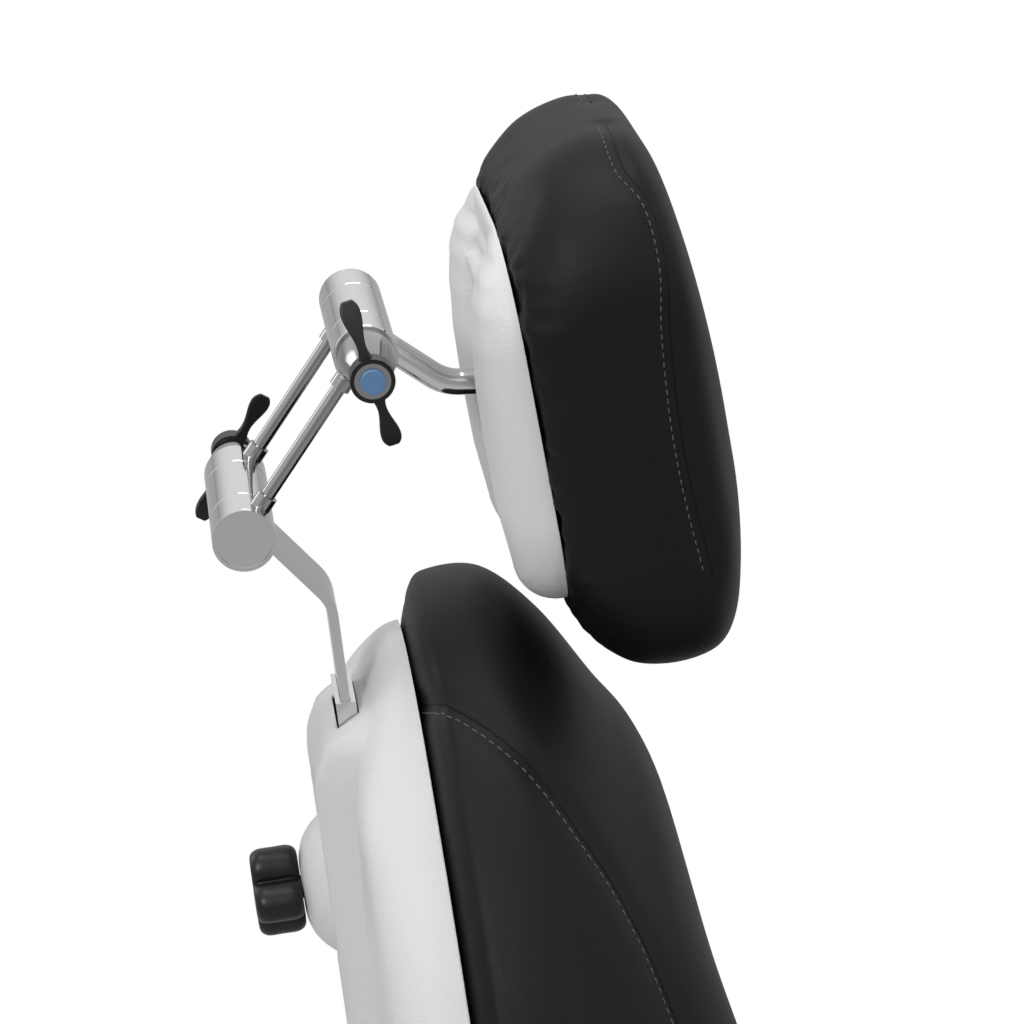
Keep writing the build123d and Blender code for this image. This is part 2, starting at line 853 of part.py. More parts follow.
# Guide of the headrest bar, its nut and the bright collar on top
for name, top_drop, foot_drop in (
    ("bar_guide", guide_top_drop, guide_bottom_drop),
    ("bar_collar", collar_top_drop, guide_top_drop),
):
    with BuildPart() as sleeve:
        with BuildSketch(back_level(rim_top - foot_drop)):
            with Locations((0, guide_n)):
                Rectangle(guide_width, guide_thick)
                Rectangle(bar_width + 2 * slide_fit, bar_thick + 2 * slide_fit, mode=Mode.SUBTRACT)
        extrude(amount=foot_drop - top_drop)
        if name == "bar_guide":
            with BuildSketch(back_face(bar_behind_rim)):
                with Locations((0, knob_u)):
                    Circle(screw_radius + run_fit)
            extrude(amount=-guide_thick, mode=Mode.SUBTRACT)
    save(sleeve.part, name)

with BuildPart() as clamp_nut:
    with BuildSketch(back_face(bar_behind_rim + guide_thick / 2)):
        with Locations((0, knob_u)):
            RegularPolygon(clamp_nut_radius, hex_sides)
            Circle(screw_radius + run_fit, mode=Mode.SUBTRACT)
    extrude(amount=-clamp_nut_height)
save(clamp_nut.part, "clamp_nut")

# Clamp knob with its neck, and the screw that presses on the bar
knob_base = spine_depth + boss_height + free_gap
with BuildPart() as clamp_knob:
    with BuildSketch(back_face(knob_base)):
        with Locations((0, knob_u)):
            Circle(knob_neck_radius)
    extrude(amount=-knob_neck)
    with BuildSketch(back_face(knob_base + knob_neck)):
        with Locations((0, knob_u)):
            Circle(knob_radius - knob_lobe)
            with PolarLocations(knob_radius - knob_lobe, knob_lobes):
                Circle(knob_lobe)
    extrude(amount=-knob_thick)
    fillet(clamp_knob.faces().sort_by(Axis(knob_point, rear_axis(recline)))[-1].edges(), radius=knob_round)
    with BuildSketch(back_face(knob_base - overrun)):
        with Locations((0, knob_u)):
            Circle(screw_radius)
    extrude(amount=-(overrun + knob_neck + knob_thick / 2), mode=Mode.SUBTRACT)
save(clamp_knob.part, "clamp_knob")

screw_tip = bar_behind_rim + bar_thick / 2 + slide_fit
with BuildPart() as clamp_screw:
    with BuildSketch(back_face(screw_tip)):
        with Locations((0, knob_u)):
            Circle(screw_radius)
    extrude(amount=-(knob_base + knob_neck + knob_thick / 2 - screw_tip))
save(clamp_screw.part, "clamp_screw")

# Headrest bar: a flat bar out of the lower hub, bent down into the guide
bar_way = Vector(0, -cos(radians(bar_leave_angle)), -sin(radians(bar_leave_angle)))
bar_reach = (joint_behind_rim - bar_behind_rim) / -bar_way.dot(rear_axis(recline))
bar_corner = low_joint + bar_way * bar_reach
bar_foot = hinge + rear_axis(recline) * guide_n + up_axis(recline) * (rim_top - bar_foot_drop)
with BuildPart() as headrest_bar:
    with BuildLine():
        FilletPolyline(low_joint + bar_way * hub_hollow, bar_corner, bar_foot, radius=bar_bend)
    with BuildSketch(Plane(origin=low_joint + bar_way * hub_hollow, x_dir=(1, 0, 0), z_dir=bar_way)):
        Rectangle(bar_width, bar_thick)
    sweep()
save(headrest_bar.part, "headrest_bar")

# Bent tube from the upper hub to the plate in the headrest
tube_way = Vector(0, -cos(radians(tube_leave_angle)), -sin(radians(tube_leave_angle)))
tube_corner = top_joint + tube_way * (tube_drop / sin(radians(tube_leave_angle)))
head_plate_rear = head_shell_depth - head_channel_depth - sheet
with BuildPart() as headrest_tube:
    with BuildLine():
        FilletPolyline(
            top_joint + tube_way * hub_hollow,
            tube_corner,
            (0, head_origin.Y, tube_corner.Z),
            radius=tube_bend,
        )
    with BuildSketch(Plane(origin=top_joint + tube_way * hub_hollow, x_dir=(1, 0, 0), z_dir=tube_way)):
        Circle(tube_radius)
    sweep()
    split(bisect_by=face_plane(head_origin, head_tilt, head_plate_rear), keep=Keep.BOTTOM)
save(headrest_tube.part, "headrest_tube")

# Middle segments of the two barrels, cut to take the bar and the tube
for name, joint, arm in (("lower_hub", low_joint, headrest_bar), ("upper_hub", top_joint, headrest_tube)):
    with BuildPart() as hub:
        with BuildSketch(Plane(origin=joint - Vector(hub_length / 2, 0, 0), x_dir=(0, 1, 0), z_dir=(1, 0, 0))):
            Circle(barrel_radius)
            Circle(clamp_bolt_radius + run_fit, mode=Mode.SUBTRACT)
        extrude(amount=hub_length)
        rounds = hub.edges().filter_by(GeomType.CIRCLE)
        chamfer(rounds.filter_by(lambda e: e.radius > barrel_radius / 2), edge_break)
        add(arm.part, mode=Mode.SUBTRACT)
    save(hub.part, name)

# Link rods with their sockets, one on each side
with BuildPart() as link_rods:
    for side in (-1, 1):
        for start, end, radius in (
            (hub_hollow, link_length - hub_hollow, rod_radius),
            (barrel_radius - socket_bury, barrel_radius + socket_length, socket_radius),
            (
                link_length - barrel_radius - socket_length,
                link_length - barrel_radius + socket_bury,
                socket_radius,
            ),
        ):
            base = low_joint + Vector(side * rod_place, 0, 0) + link_way * start
            with BuildSketch(Plane(origin=base, x_dir=(1, 0, 0), z_dir=link_way)):
                Circle(radius)
            extrude(amount=end - start)
save(link_rods.part, "link_rods")

# Outer segments of the two barrels, cut to take the rods
with BuildPart() as link_ends:
    for joint in (low_joint, top_joint):
        for side in (-1, 1):
            start = joint + Vector(side * (hub_length / 2 + segment_gap), 0, 0)
            with BuildSketch(Plane(origin=start, x_dir=(0, 1, 0), z_dir=(side, 0, 0))):
                Circle(barrel_radius)
                Circle(clamp_bolt_radius + run_fit, mode=Mode.SUBTRACT)
            extrude(amount=end_length - cap_thick)
    rims = link_ends.edges().filter_by(GeomType.CIRCLE).filter_by(lambda e: e.radius > barrel_radius / 2)
    chamfer(rims, edge_break)
    add(link_rods.part, mode=Mode.SUBTRACT)
save(link_ends.part, "link_ends")


def outward(joint, side, reach):
    """Plane square to a barrel, a reach beyond its end face; sketch axes are Y and Z or its mirror."""
    origin = joint + Vector(side * (barrel_length / 2 + reach), 0, 0)
    return Plane(origin=origin, x_dir=(0, side, 0), z_dir=(side, 0, 0))


# Plain end caps: lower one on the near side, upper one on the far side
with BuildPart() as end_caps:
    for joint, side in ((low_joint, -1), (top_joint, 1)):
        with BuildSketch(outward(joint, side, -cap_thick)):
            Circle(barrel_radius)
        extrude(amount=cap_thick)
        with BuildSketch(outward(joint, side, -cap_rim / 2)):
            Circle(barrel_radius - cap_rim)
        extrude(amount=cap_rim / 2, mode=Mode.SUBTRACT)
save(end_caps.part, "end_caps")

# Clamp bolts along the two barrels, from the cap side into the lever hub
with BuildPart() as clamp_bolts:
    for joint, side in ((low_joint, 1), (top_joint, -1)):
        with BuildSketch(outward(joint, side, lever_hub_length - overrun / 2)):
            Circle(clamp_bolt_radius)
        extrude(amount=-(barrel_length - cap_thick + lever_hub_length - overrun / 2))
save(clamp_bolts.part, "clamp_bolts")

# Clamp levers: a domed hub, two paddle wings on a ring and a round cap in the end
wing_reach = lever_hub_length + lever_nose_length - lever_ring_length
for name, joint, side, turn in (
    ("upper", top_joint, -1, upper_lever_turn),
    ("lower", low_joint, 1, lower_lever_turn),
):
    nose_end = lever_hub_length + lever_nose_length
    with BuildPart() as lever_hub:
        wing_plane = Plane(
            origin=joint + Vector(side * barrel_length / 2, 0, 0), x_dir=(side, 0, 0), z_dir=(0, -side, 0)
        )
        with BuildSketch(wing_plane):
            with BuildLine():
                base = -cap_thick + segment_gap
                Polyline((base, 0), (base, lever_hub_radius), (lever_flange, lever_hub_radius))
                ThreePointArc(
                    (lever_flange, lever_hub_radius),
                    (
                        lever_hub_length * lever_flow_share,
                        lever_nose_radius + (lever_hub_radius - lever_nose_radius) * lever_flow_share,
                    ),
                    (lever_hub_length, lever_nose_radius),
                )
                Polyline(
                    (lever_hub_length, lever_nose_radius), (nose_end, lever_nose_radius), (nose_end, 0), (base, 0)
                )
            make_face()
        revolve(axis=Axis(joint, (1, 0, 0)))
        with BuildSketch(outward(joint, side, -cap_thick - overrun)):
            Circle(clamp_bolt_radius + run_fit)
        extrude(amount=cap_thick + overrun + lever_hub_length - overrun / 4, mode=Mode.SUBTRACT)
    save(lever_hub.part, f"{name}_lever_hub")

    with BuildPart() as wings:
        with BuildSketch(outward(joint, side, wing_reach)):
            Circle(lever_nose_radius + lever_ring)
        extrude(amount=lever_ring_length)
        for way in (-1, 1):
            wing_axis = Vector(0, sin(radians(turn)), cos(radians(turn))) * way
            for span_share, half_share, thick_share in wing_shares:
                span = lever_span * span_share
                set_back = lever_back_set * span_share**2
                centre = joint + wing_axis * span
                ring_place = barrel_length / 2 + wing_reach + lever_ring_length / 2 - set_back
                centre += Vector(side * ring_place, 0, 0)
                with BuildSketch(Plane(origin=centre, x_dir=(1, 0, 0), z_dir=wing_axis)):
                    RectangleRounded(
                        lever_thick * thick_share, 2 * half_share * lever_span, lever_thick * wing_round_share
                    )
            loft()
        with BuildSketch(outward(joint, side, wing_reach - overrun)):
            Circle(lever_nose_radius)
        extrude(amount=2 * overrun + lever_ring_length, mode=Mode.SUBTRACT)
    save(wings.part, f"{name}_lever_wings")

    with BuildPart() as lever_cap:
        with BuildSketch(outward(joint, side, nose_end)):
            Circle(lever_cap_radius)
        extrude(amount=lever_cap_thick)
        fillet(lever_cap.edges().filter_by(GeomType.CIRCLE).sort_by(Axis.X)[0 if side < 0 else -1], edge_break)
    save(lever_cap.part, f"{name}_lever_cap")


def head_face(n):
    """Plane square to the headrest, n behind the rim plane of its shell."""
    return face_plane(head_origin, head_tilt, n)


# Headrest shell: a domed pan with a channel down its middle for the tube
shell_centre = (0, (head_shell_top - head_shell_bottom) / 2)
shell_height = head_shell_top + head_shell_bottom


def head_pan_sections(inset, floor):
    """Outlines of the headrest shell from its rim to its rear face."""
    return [
        rounded(
            head_face(n - floor if n else 0),
            shell_centre,
            2 * (head_shell_half - less - inset),
            shell_height - 2 * (less + inset),
            head_shell_corner - (less + inset) / 2,
        )
        for n, less in head_pan_levels
    ]


def head_slope(inset):
    """Wedge that thins the shell towards its upper edge."""
    depth = head_shell_depth - inset
    with BuildSketch(side_plane(head_origin, head_tilt, -head_half)) as outline:
        with BuildLine():
            Polyline(
                (head_top_depth - inset, head_shell_top),
                (depth, -head_slope_foot),
                (depth + overrun, -head_slope_foot),
                (depth + overrun, head_shell_top),
                close=True,
            )
        make_face()
    return outline.sketch


with BuildPart() as head_hollow:
    loft(head_pan_sections(sheet, sheet))
    extrude(head_slope(sheet), amount=2 * head_half, mode=Mode.SUBTRACT)
    with BuildSketch(head_face(head_shell_depth - head_channel_depth - sheet)):
        with Locations(shell_centre):
            Rectangle(2 * (head_channel_half + sheet), shell_height)
    extrude(amount=-head_shell_depth, mode=Mode.SUBTRACT)

with BuildPart() as headrest_shell:
    loft(head_pan_sections(0, 0))
    extrude(head_slope(0), amount=2 * head_half, mode=Mode.SUBTRACT)
    with BuildSketch(head_face(head_shell_depth - head_channel_depth)):
        with Locations(shell_centre):
            Rectangle(2 * head_channel_half, shell_height)
    extrude(amount=-head_shell_depth, mode=Mode.SUBTRACT)
    add(head_hollow.part, mode=Mode.SUBTRACT)
    with BuildSketch(Plane(origin=tube_corner, x_dir=(1, 0, 0), z_dir=(0, -1, 0))):
        Circle(tube_radius + free_gap)
    extrude(amount=link_length, mode=Mode.SUBTRACT)
save(headrest_shell.part, "headrest_shell")

# Steel plate inside the headrest that the tube is welded to
plate_centre_u = (tube_corner - head_origin).dot(up_axis(head_tilt))
with BuildPart() as head_plate:
    with BuildSketch(head_face(head_plate_rear)):
        with Locations((0, plate_centre_u)):
            RectangleRounded(2 * head_plate_half, head_plate_height, tube_radius)
    extrude(amount=head_plate_thick)
save(head_plate.part, "head_plate")

# Headrest cushion: outlines from the rim to the crown, as shares of its thickness and half size
head_half_height = (head_top + head_bottom) / 2
with BuildPart() as headrest_cushion:
    loft(
        [
            rounded(
                head_face(-head_thick * thick_share),
                (0, (head_top - head_bottom) / 2 - head_half_height * drop_share),
                2 * head_half * size_share,
                2 * (head_half_height - head_half * (1 - size_share)) * height_share,
                head_corner * size_share,
            )
            for thick_share, size_share, height_share, drop_share in head_cushion_shares
        ]
    )
save(headrest_cushion.part, "headrest_cushion")


def leg_face(n):
    """Plane square to the leg rest, n behind its hinge axis."""
    return face_plane(leg_hinge, leg_hang, n)


def leg_side(x):
    return side_plane(leg_hinge, leg_hang, x)


def leg_level(u):
    return level_plane(leg_hinge, leg_hang, u)


# Leg cushion
leg_centre = (0, -(leg_start + leg_length / 2))
with BuildPart() as leg_cushion:
    loft(
        pad_sections(
            lambda rise: leg_face(leg_rim - rise),
            leg_centre,
            2 * leg_half,
            leg_length,
            leg_corner,
            leg_rim + leg_ahead,
            leg_rim + leg_ahead,
        )
    )
save(leg_cushion.part, "leg_cushion")

# Leg shell: a shallow pan behind the cushion
leg_shell_foot = leg_start + leg_length - leg_shell_inset
leg_shell_height = leg_shell_foot - leg_shell_start
leg_post_n = leg_rim + leg_tube / 2


def leg_pan_sections(inset, floor):
    """Outlines of the leg shell from its rim to its rear face."""
    return [
        rounded(
            leg_face(leg_rim + leg_shell_depth * depth_share - (floor if depth_share else 0)),
            (0, -(leg_shell_start + leg_shell_foot) / 2),
            2 * (leg_half - leg_shell_inset - leg_shell_depth * draw_share - inset),
            leg_shell_height - 2 * (leg_shell_depth * draw_share + inset),
            leg_corner - leg_shell_inset - inset,
        )
        for depth_share, draw_share in leg_pan_shares
    ]


with BuildPart() as leg_shell:
    loft(leg_pan_sections(0, 0))
    loft(leg_pan_sections(sheet, sheet), mode=Mode.SUBTRACT)
    with BuildSketch(leg_side(-leg_half)):
        with Locations((leg_post_n, -leg_cross_drops[0])):
            Rectangle(leg_tube + 2 * free_gap, leg_tube + 2 * free_gap)
    extrude(amount=2 * leg_half, mode=Mode.SUBTRACT)
    with BuildSketch(leg_level(-leg_shell_foot - overrun)):
        with Locations((-leg_rail_place, leg_post_n), (leg_rail_place, leg_post_n)):
            Rectangle(leg_tube + 2 * free_gap, leg_tube + 2 * free_gap)
    extrude(amount=2 * overrun + leg_tube, mode=Mode.SUBTRACT)
save(leg_shell.part, "leg_shell")

# Leg frame: two posts that guide the foot bars, cross tubes and a lug at each end
leg_lug_low = (leg_post_n, -leg_cross_drops[0])
slide_side = leg_tube - 2 * tube_wall
with BuildPart() as leg_frame:
    with BuildSketch(leg_side(-leg_lug_place)):
        with Locations(leg_lug_low):
            Rectangle(leg_tube, leg_tube)
    extrude(amount=2 * leg_lug_place)
    with BuildSketch(leg_side(-leg_rail_place)):
        with Locations((leg_post_n, -leg_cross_drops[1])):
            Rectangle(leg_tube, leg_tube)
    extrude(amount=2 * leg_rail_place)
    with BuildSketch(leg_level(-leg_shell_foot)):
        with Locations((-leg_rail_place, leg_post_n), (leg_rail_place, leg_post_n)):
            Rectangle(leg_tube, leg_tube)
    extrude(amount=leg_shell_foot - leg_cross_drops[0])
    with BuildSketch(leg_level(-leg_shell_foot)):
        with Locations((-leg_rail_place, leg_post_n), (leg_rail_place, leg_post_n)):
            Rectangle(slide_side, slide_side)
    extrude(amount=leg_shell_foot - leg_cross_drops[0] - leg_tube, mode=Mode.SUBTRACT)
    for side in (-1, 1):
        with BuildSketch(leg_side(side * leg_lug_place)):
            add(bar_hull((0, 0), back_lug_radius, leg_lug_low, leg_tube / 2 + tube_wall))
            Circle(shaft_radius, mode=Mode.SUBTRACT)
        extrude(amount=side * plate)
save(leg_frame.part, "leg_frame")

# Foot bars slide in the posts and carry the foot plate and its pad
foot_u = leg_start + leg_length + foot_clear
with BuildPart() as foot_bars:
    with BuildSketch(leg_level(-foot_u)):
        with Locations((-leg_rail_place, leg_post_n), (leg_rail_place, leg_post_n)):
            Rectangle(slide_side - 2 * slide_fit, slide_side - 2 * slide_fit)
    extrude(amount=foot_u - foot_bar_start)
save(foot_bars.part, "foot_bars")

foot_rear_n = leg_post_n + slide_side
foot_centre = (0, foot_rear_n - foot_depth / 2)
with BuildPart() as foot_plate:
    with BuildSketch(leg_level(-foot_u)):
        with Locations(foot_centre):
            RectangleRounded(2 * foot_half, foot_depth, foot_corner)
    extrude(amount=-foot_thick)
save(foot_plate.part, "foot_plate")

with BuildPart() as foot_pad:
    with BuildSketch(leg_level(-foot_u)):
        with Locations((0, leg_post_n - slide_side / 2 - free_gap - foot_pad_depth / 2)):
            RectangleRounded(2 * (foot_half - foot_thick), foot_pad_depth, foot_corner - foot_thick)
    extrude(amount=foot_pad_thick)
    upper_edges = foot_pad.edges().group_by(Axis(leg_hinge, up_axis(leg_hang)))[-1]
    fillet(upper_edges, radius=foot_pad_thick * foot_round_share)
save(foot_pad.part, "foot_pad")

# Armrests: post on the side plate, pivot pin, bar with a hub, and a pad
post_x = side_plate_place + plate
arm_x = post_x + arm_post_thick + free_gap
arm_pivot = (arm_post_y, arm_post_top - arm_post_wide / 2)
arm_centre_y = arm_post_y + arm_hub_radius - arm_length / 2
arm_bar_top = arm_pivot[1] + arm_hub_radius
with BuildPart() as arm_posts:
    for side in (-1, 1):
        with BuildSketch(Plane.YZ.offset(side * post_x)):
            with Locations((arm_post_y, (arm_pivot[1] + rail_centre_z) / 2)):
                SlotCenterToCenter(arm_pivot[1] - rail_centre_z, arm_post_wide, rotation=90)
            with Locations(arm_pivot):
                Circle(arm_pivot_radius, mode=Mode.SUBTRACT)
        extrude(amount=side * arm_post_thick)
save(arm_posts.part, "arm_posts")

with BuildPart() as arm_pins:
    for side in (-1, 1):
        with BuildSketch(Plane.YZ.offset(side * post_x)):
            with Locations(arm_pivot):
                Circle(arm_pivot_radius)
        extrude(amount=side * (arm_post_thick + free_gap + arm_hub_length + free_gap))
        with BuildSketch(Plane.YZ.offset(side * (arm_x + arm_hub_length + free_gap))):
            with Locations(arm_pivot):
                Circle(arm_hub_radius * pin_head_share)
        extrude(amount=side * bush_wall)
save(arm_pins.part, "arm_pins")

for side, word in ((-1, "left"), (1, "right")):
    with BuildPart() as arm_bar:
        with BuildSketch(Plane.YZ.offset(side * arm_x)):
            with BuildLine():
                Polyline(
                    (arm_post_y, arm_bar_top),
                    (arm_post_y, arm_pivot[1] - arm_hub_radius / 2),
                    (arm_post_y - arm_length * arm_knee_share, arm_bar_top - arm_bar_height),
                    (arm_post_y - arm_length * arm_bar_share, arm_bar_top - arm_bar_height * arm_tip_share),
                    (arm_post_y - arm_length * arm_bar_share, arm_bar_top),
                    close=True,
                )
            make_face()
            with Locations(arm_pivot):
                Circle(arm_hub_radius)
                Circle(arm_pivot_radius + run_fit, mode=Mode.SUBTRACT)
        extrude(amount=side * arm_hub_length)
    save(arm_bar.part, f"arm_bar_{word}")

    with BuildPart() as arm_pad:
        loft(
            pad_sections(
                lambda rise: Plane.XY.offset(arm_bar_top + rise),
                (side * (arm_x + arm_pad_width / 2 + arm_pad_edge), arm_centre_y),
                arm_pad_width,
                arm_length,
                arm_pad_width * arm_corner_share,
                arm_pad_thick,
                arm_pad_width * arm_draw_share,
            )
        )
    save(arm_pad.part, f"arm_pad_{word}")

# Control box behind the column, hollow, with a port for the inlet unit
box_y = column_depth / 2
box_centre_y = box_y + box_depth / 2
unit_z = box_floor + unit_place
with BuildPart() as control_box:
    with BuildSketch(Plane.XY.offset(box_floor)):
        with Locations((0, box_centre_y)):
            Rectangle(box_width, box_depth)
    extrude(amount=box_height)
    fillet(control_box.edges().filter_by(Axis.Z).group_by(Axis.Y)[-1], radius=box_corner)
    with BuildSketch(Plane.XY.offset(box_floor + inlet_wall)):
        with Locations((0, box_centre_y)):
            Rectangle(box_width - 2 * inlet_wall, box_depth - 2 * inlet_wall)
    extrude(amount=box_height - 2 * inlet_wall, mode=Mode.SUBTRACT)
    with BuildSketch(Plane.XZ.offset(-(box_y + box_depth + overrun))):
        with Locations((0, unit_z)):
            Rectangle(unit_width, unit_height)
    extrude(amount=2 * overrun, mode=Mode.SUBTRACT)
save(control_box.part, "control_box")

# Inlet unit: a socket with three pins, and a bay with an axle for the rocker switch
unit_rear = box_y + box_depth
inlet_z = unit_z - unit_height / 2 + inlet_wall + inlet_height / 2
rocker_z = unit_z + unit_height / 2 - inlet_wall - rocker_height / 2 - free_gap
unit_back = Plane.XZ.offset(-unit_rear)
with BuildPart() as inlet_unit:
    with BuildSketch(Plane.XZ.offset(-(unit_rear - inlet_depth))):
        with Locations((0, unit_z)):
            Rectangle(unit_width, unit_height)
    extrude(amount=-inlet_depth)
    with BuildSketch(unit_back):
        with Locations((0, unit_z)):
            RectangleRounded(unit_width + 2 * inlet_wall, unit_height + 2 * inlet_wall, inlet_wall)
    extrude(amount=-inlet_wall)
    with BuildSketch(Plane.XZ.offset(-(unit_rear - inlet_depth + inlet_wall))):
        with Locations((0, inlet_z)):
            Rectangle(inlet_width, inlet_height)
        with Locations((0, rocker_z)):
            Rectangle(rocker_width + 2 * free_gap, rocker_height + 2 * free_gap)
    extrude(amount=-(inlet_depth + overrun), mode=Mode.SUBTRACT)
    with BuildSketch(Plane.XZ.offset(-(unit_rear - inlet_depth + inlet_wall))):
        pin_rise = inlet_height * inlet_pin_share
        pin_places = ((-inlet_width / 4, inlet_z), (0, inlet_z + pin_rise), (inlet_width / 4, inlet_z))
        with Locations(*pin_places):
            Rectangle(inlet_pin, 2 * inlet_pin)
    extrude(amount=-(inlet_depth - 2 * inlet_wall))
    with BuildSketch(Plane.YZ.offset(-unit_width / 2)):
        with Locations((unit_rear - rocker_depth / 2, rocker_z)):
            Circle(rocker_axle)
    extrude(amount=unit_width)
save(inlet_unit.part, "inlet_unit")

with BuildPart() as rocker:
    with BuildSketch(Plane.YZ.offset(-rocker_width / 2)):
        with Locations((unit_rear - rocker_depth / 2 + rocker_lift, rocker_z)):
            RectangleRounded(rocker_depth, rocker_height - free_gap, rocker_axle)
        with Locations((unit_rear - rocker_depth / 2, rocker_z)):
            Circle(rocker_axle + run_fit, mode=Mode.SUBTRACT)
    extrude(amount=rocker_width)
save(rocker.part, "rocker")
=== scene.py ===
import math

import bmesh
import bpy
from mathutils import Matrix, Vector, noise
from mathutils.bvhtree import BVHTree
from mathutils.kdtree import KDTree


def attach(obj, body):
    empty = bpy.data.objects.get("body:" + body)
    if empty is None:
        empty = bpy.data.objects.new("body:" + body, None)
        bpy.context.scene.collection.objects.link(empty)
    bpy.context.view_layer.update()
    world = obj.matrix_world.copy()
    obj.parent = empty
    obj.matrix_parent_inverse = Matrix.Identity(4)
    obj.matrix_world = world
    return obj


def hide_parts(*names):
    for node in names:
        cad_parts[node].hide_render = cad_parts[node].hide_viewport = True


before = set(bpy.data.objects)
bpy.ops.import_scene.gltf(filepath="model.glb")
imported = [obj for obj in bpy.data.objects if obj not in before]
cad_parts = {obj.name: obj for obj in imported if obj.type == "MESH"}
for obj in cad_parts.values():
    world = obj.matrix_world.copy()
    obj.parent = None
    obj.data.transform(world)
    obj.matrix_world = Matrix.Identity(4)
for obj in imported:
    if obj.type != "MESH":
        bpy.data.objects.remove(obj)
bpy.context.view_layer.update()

MM = 0.001


# Local frames: x across, n to the rear of a rim plane, u up the piece, all in millimetres
class Frame:
    def __init__(self, y, z, tilt):
        self.y, self.z, self.tilt = y, z, math.radians(tilt)

    def __call__(self, x, n, u):
        s, c = math.sin(self.tilt), math.cos(self.tilt)
        return Vector((x, self.y + n * c + u * s, self.z - n * s + u * c)) * MM

    def local(self, p):
        s, c = math.sin(self.tilt), math.cos(self.tilt)
        y, z = p.y / MM - self.y, p.z / MM - self.z
        return p.x / MM, y * c - z * s, y * s + z * c


def behind(y, z, tilt, n):
    t = math.radians(tilt)
    return Frame(y + n * math.cos(t), z - n * math.sin(t), tilt)


BACK = behind(156, 546, 6.56, 95)
HEAD = Frame(264.76, 1425.528, 10.4)
LEG = behind(-405, 546, 14, 26)
FLAT = Frame(0, 0, 0)

# Camera: its place and axes were found from the straight edges in the photograph
EYE = Vector((-2.05512, 0.50631, 2.03779))
RIGHT = Vector((-0.1169, -0.9931, 0)).normalized()
AHEAD = Vector((0.9376, -0.1104, -0.3297)).normalized()
UP = RIGHT.cross(AHEAD).normalized()
FOCUS = 3600


def ray(px, py):
    return (AHEAD * FOCUS + RIGHT * (px - 512) - UP * (py - 512)).normalized()


cam = bpy.data.objects.new("camera", bpy.data.cameras.new("camera"))
bpy.context.scene.collection.objects.link(cam)
turn = Matrix((RIGHT, UP, -AHEAD)).transposed()
cam.matrix_world = Matrix.Translation(EYE) @ turn.to_4x4()
cam.data.sensor_width = 36
cam.data.lens = 36 * FOCUS / 1024
cam.data.clip_start, cam.data.clip_end = 0.05, 100
bpy.context.scene.camera = cam


# Materials
def material(name, color, rough, metal=0.0, grain=None, coat=0.0, spec=0.5, vary=0.0):
    """Principled material; grain is (kind, scale per metre, strength, depth in metres)."""
    m = bpy.data.materials.new(name)
    m.use_nodes = True
    tree = m.node_tree
    b = tree.nodes["Principled BSDF"]
    b.inputs["Base Color"].default_value = (*color, 1)
    b.inputs["Roughness"].default_value = rough
    b.inputs["Metallic"].default_value = metal
    b.inputs["Specular IOR Level"].default_value = spec
    b.inputs["Coat Weight"].default_value = coat
    b.inputs["Coat Roughness"].default_value = 0.12
    place = tree.nodes.new("ShaderNodeTexCoord")
    if grain:
        kind, scale, strength, depth = grain
        if kind == "leather":
            tex = tree.nodes.new("ShaderNodeTexVoronoi")
            tex.feature = "SMOOTH_F1"
            tex.inputs["Scale"].default_value = scale
            tex.inputs["Smoothness"].default_value = 0.6
            out = tex.outputs["Distance"]
        else:
            tex = tree.nodes.new("ShaderNodeTexNoise")
            tex.inputs["Scale"].default_value = scale
            tex.inputs["Detail"].default_value = 3
            out = tex.outputs["Fac"]
        tree.links.new(place.outputs["Object"], tex.inputs["Vector"])
        bump = tree.nodes.new("ShaderNodeBump")
        bump.inputs["Strength"].default_value = strength
        bump.inputs["Distance"].default_value = depth
        tree.links.new(out, bump.inputs["Height"])
        tree.links.new(bump.outputs["Normal"], b.inputs["Normal"])
    if vary:
        cloud = tree.nodes.new("ShaderNodeTexNoise")
        cloud.inputs["Scale"].default_value = 14
        cloud.inputs["Detail"].default_value = 4
        tree.links.new(place.outputs["Object"], cloud.inputs["Vector"])
        span = tree.nodes.new("ShaderNodeMapRange")
        span.inputs["To Min"].default_value = rough - vary
        span.inputs["To Max"].default_value = rough + vary
        tree.links.new(cloud.outputs["Fac"], span.inputs["Value"])
        tree.links.new(span.outputs["Result"], b.inputs["Roughness"])
    return m


